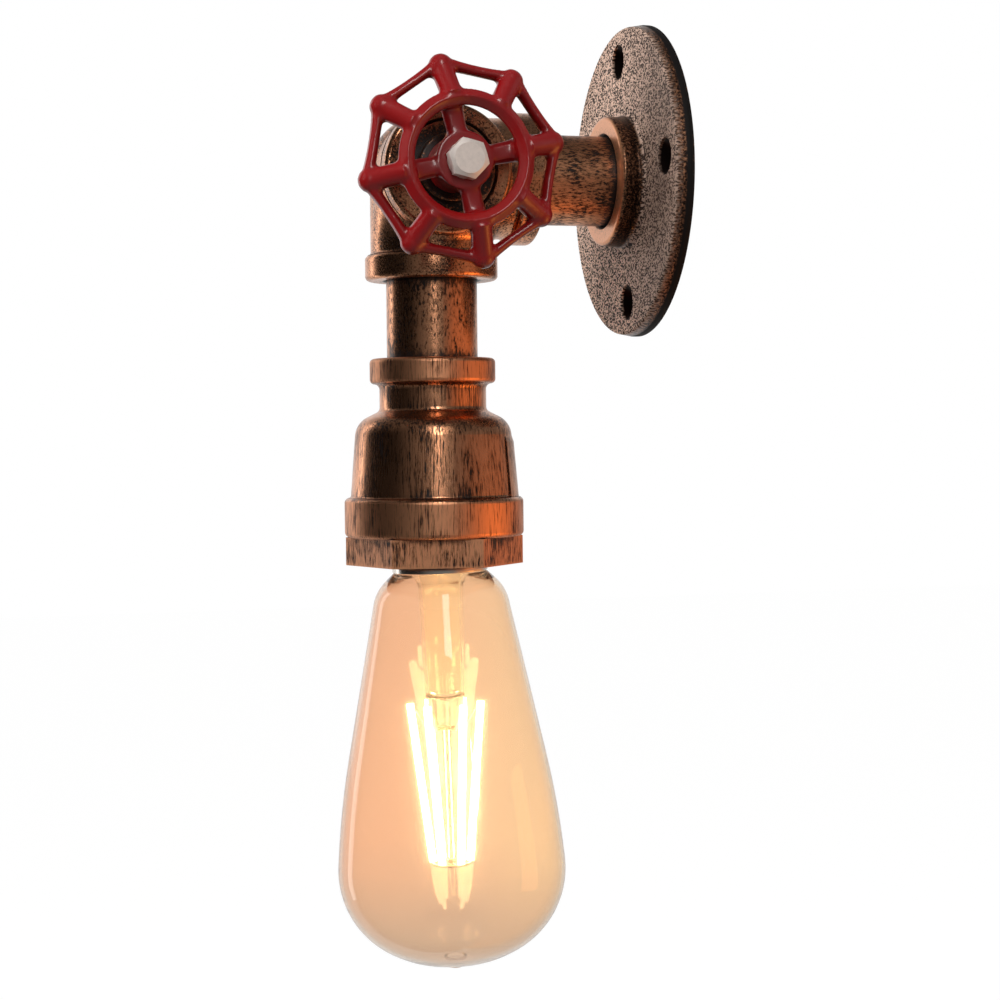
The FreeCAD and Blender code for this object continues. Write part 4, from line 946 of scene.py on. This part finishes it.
# Bearings run in degrees, nought towards the camera and above nought to its
# right. Each has a grey, or its share of the lit bulb's warmth.
ROUND_THE_STUDIO = (
    (-180, 0.98), (-123, 0.96), (-113, 0.06), (-100, 0.010), (-50, 0.016), (-18, 0.15), (20, 0.20),
    (50, 0.15), (85, 0.20), (120, 0.18), (146, 0.5), (180, 0.98),
)
WARM_SIDE = ((28, 0.0), (62, 1.0), (112, 1.0), (140, 0.0))
WARM_STRENGTH = 0.75
LAMP_GLOW = (1.5, 0.50, 0.10)
CEILING = (0.10, 0.10, 0.10)
SOFT_LIGHT = (1.0, 0.99, 0.98)
SOFT_STRENGTH = 0.27
FLOOR_SPAN = 6.0
FLOOR_LEVEL = -0.62
FLOOR_PAPER = (0.13, 0.13, 0.13)
FLOOR_WHITE = (0.96, 0.96, 0.96)
FLOOR_IN_GLOSS = 0.7
CENTRE = (0.0, -0.05, -0.08)

# place, what it faces, width and height, power, colour, whether gloss shows it
LAMPS = {
    "key": ((0.64, -0.14, 0.32), CENTRE, (0.14, 0.55), 1.9, (1.0, 0.98, 0.95), True),
    "side_right": ((0.30, 0.62, 0.20), CENTRE, (0.25, 0.50), 2.0, (1.0, 0.93, 0.86), False),
    "side_left": ((0.18, -0.76, 0.28), CENTRE, (0.3, 0.7), 6.0, (1.0, 0.97, 0.94), False),
    "top": ((0.10, -0.10, 0.8), CENTRE, (0.5, 0.5), 2.0, (1, 1, 1), False),
    "strip_left": ((-0.5, -0.53, -0.04), CENTRE, (0.12, 0.9), 0.55, (1.0, 0.96, 0.94), True),
    "warm_low": (
        (0.12, 0.20, -0.20), (0.0, -0.04, -0.10), (0.10, 0.16), 0.12, (1.0, 0.36, 0.08), True
    ),
}


def who_looks(tree):
    """Whether the eye sees this, straight or through glass, and whether gloss does."""
    path = tree.nodes.new("ShaderNodeLightPath").outputs
    seen = maths(tree, "MAXIMUM", path["Is Camera Ray"], path["Is Transmission Ray"])
    return seen, path["Is Glossy Ray"]


def studio_in_gloss(tree, way, low_down=1.0):
    """What gloss picks up round the object, by bearing.

    White lies behind it, dark at its left, grey in front, and the warm glow of
    the lit bulb low down at its right.
    """
    def along(direction):
        node = add_in_turn(tree, "ShaderNodeVectorMath", way, direction)
        node.operation = "DOT_PRODUCT"
        return node.outputs["Value"]

    def by_bearing(stops):
        return steps(tree, bearing, *((0.5 + angle / 360, tone) for angle, tone in stops))

    aside = along((math.sin(CAMERA_YAW), math.cos(CAMERA_YAW), 0))
    towards = along((math.cos(CAMERA_YAW), -math.sin(CAMERA_YAW), 0))
    turn = maths(tree, "ARCTAN2", aside, towards)
    bearing = maths(tree, "MULTIPLY_ADD", turn, 0.5 / math.pi, 0.5)
    warm = times(tree, by_bearing(WARM_SIDE), times(tree, low_down, WARM_STRENGTH))
    return blend_colour(tree, warm, by_bearing(ROUND_THE_STUDIO), LAMP_GLOW)


def make_world():
    """White to the eye and behind glass, soft grey as light, and the studio in gloss."""
    world = bpy.data.worlds.new("studio")
    bpy.context.scene.world = world
    tree = cleared(world)
    way = tree.nodes.new("ShaderNodeTexCoord").outputs["Generated"]
    height = add_in_turn(tree, "ShaderNodeSeparateXYZ", way).outputs[2]
    overhead = steps(tree, height, (0.35, 0.0), (0.8, 1.0))
    low_down = maths(tree, "MULTIPLY_ADD", height, -2.0, 0.5)
    low_down = steps(tree, low_down, (0.3, 0.0), (0.6, 1.0))
    around = blend_colour(tree, overhead, studio_in_gloss(tree, way, low_down), CEILING)
    soft = add_in_turn(tree, "ShaderNodeBackground", SOFT_LIGHT, SOFT_STRENGTH)
    white = add_in_turn(tree, "ShaderNodeBackground", (1, 1, 1))
    gloss = add_in_turn(tree, "ShaderNodeBackground", around)
    seen, in_gloss = who_looks(tree)
    unseen = add_in_turn(tree, "ShaderNodeMixShader", in_gloss, soft, gloss)
    whole = add_in_turn(tree, "ShaderNodeMixShader", seen, unseen, white)
    add(tree, "ShaderNodeOutputWorld", Surface=whole)


def soft_lamp(name, place, target, size, power, colour, in_gloss):
    """A flat soft lamp that faces its target and never shows through glass."""
    data = bpy.data.lights.new(name, "AREA")
    data.shape = "RECTANGLE"
    data.size, data.size_y = size
    data.energy = power
    data.color = colour
    lamp = placed(name, data)
    lamp.visible_glossy = in_gloss
    lamp.visible_transmission = False
    lamp.location = place
    lamp.rotation_euler = (Vector(target) - Vector(place)).to_track_quat("-Z", "Y").to_euler()


def make_floor():
    """A wide white floor that takes the object's shadow."""
    mesh = bpy.data.meshes.new("floor")
    corners = [(-1, -1), (1, -1), (1, 1), (-1, 1)]
    points = [(x * FLOOR_SPAN, y * FLOOR_SPAN, FLOOR_LEVEL) for x, y in corners]
    mesh.from_pydata(points, [], [(0, 1, 2, 3)])
    floor = placed("floor", mesh)
    material = bpy.data.materials.new("white_floor")
    tree = cleared(material)
    where = tree.nodes.new("ShaderNodeTexCoord").outputs["Object"]
    seen, in_gloss = who_looks(tree)
    paper = add_in_turn(tree, "ShaderNodeBsdfDiffuse", FLOOR_PAPER)
    lift = add(
        tree, "ShaderNodeEmission",
        Color=blend_colour(tree, seen, studio_in_gloss(tree, where), FLOOR_WHITE),
        Strength=maths(tree, "MAXIMUM", times(tree, in_gloss, FLOOR_IN_GLOSS), seen),
    )
    both = add_in_turn(tree, "ShaderNodeAddShader", paper, lift)
    add(tree, "ShaderNodeOutputMaterial", Surface=both)
    mesh.materials.append(material)


make_world()
make_floor()
for lamp_name, lamp_sizes in LAMPS.items():
    soft_lamp(lamp_name, *lamp_sizes)

scene = bpy.context.scene
scene.view_settings.view_transform = "Standard"
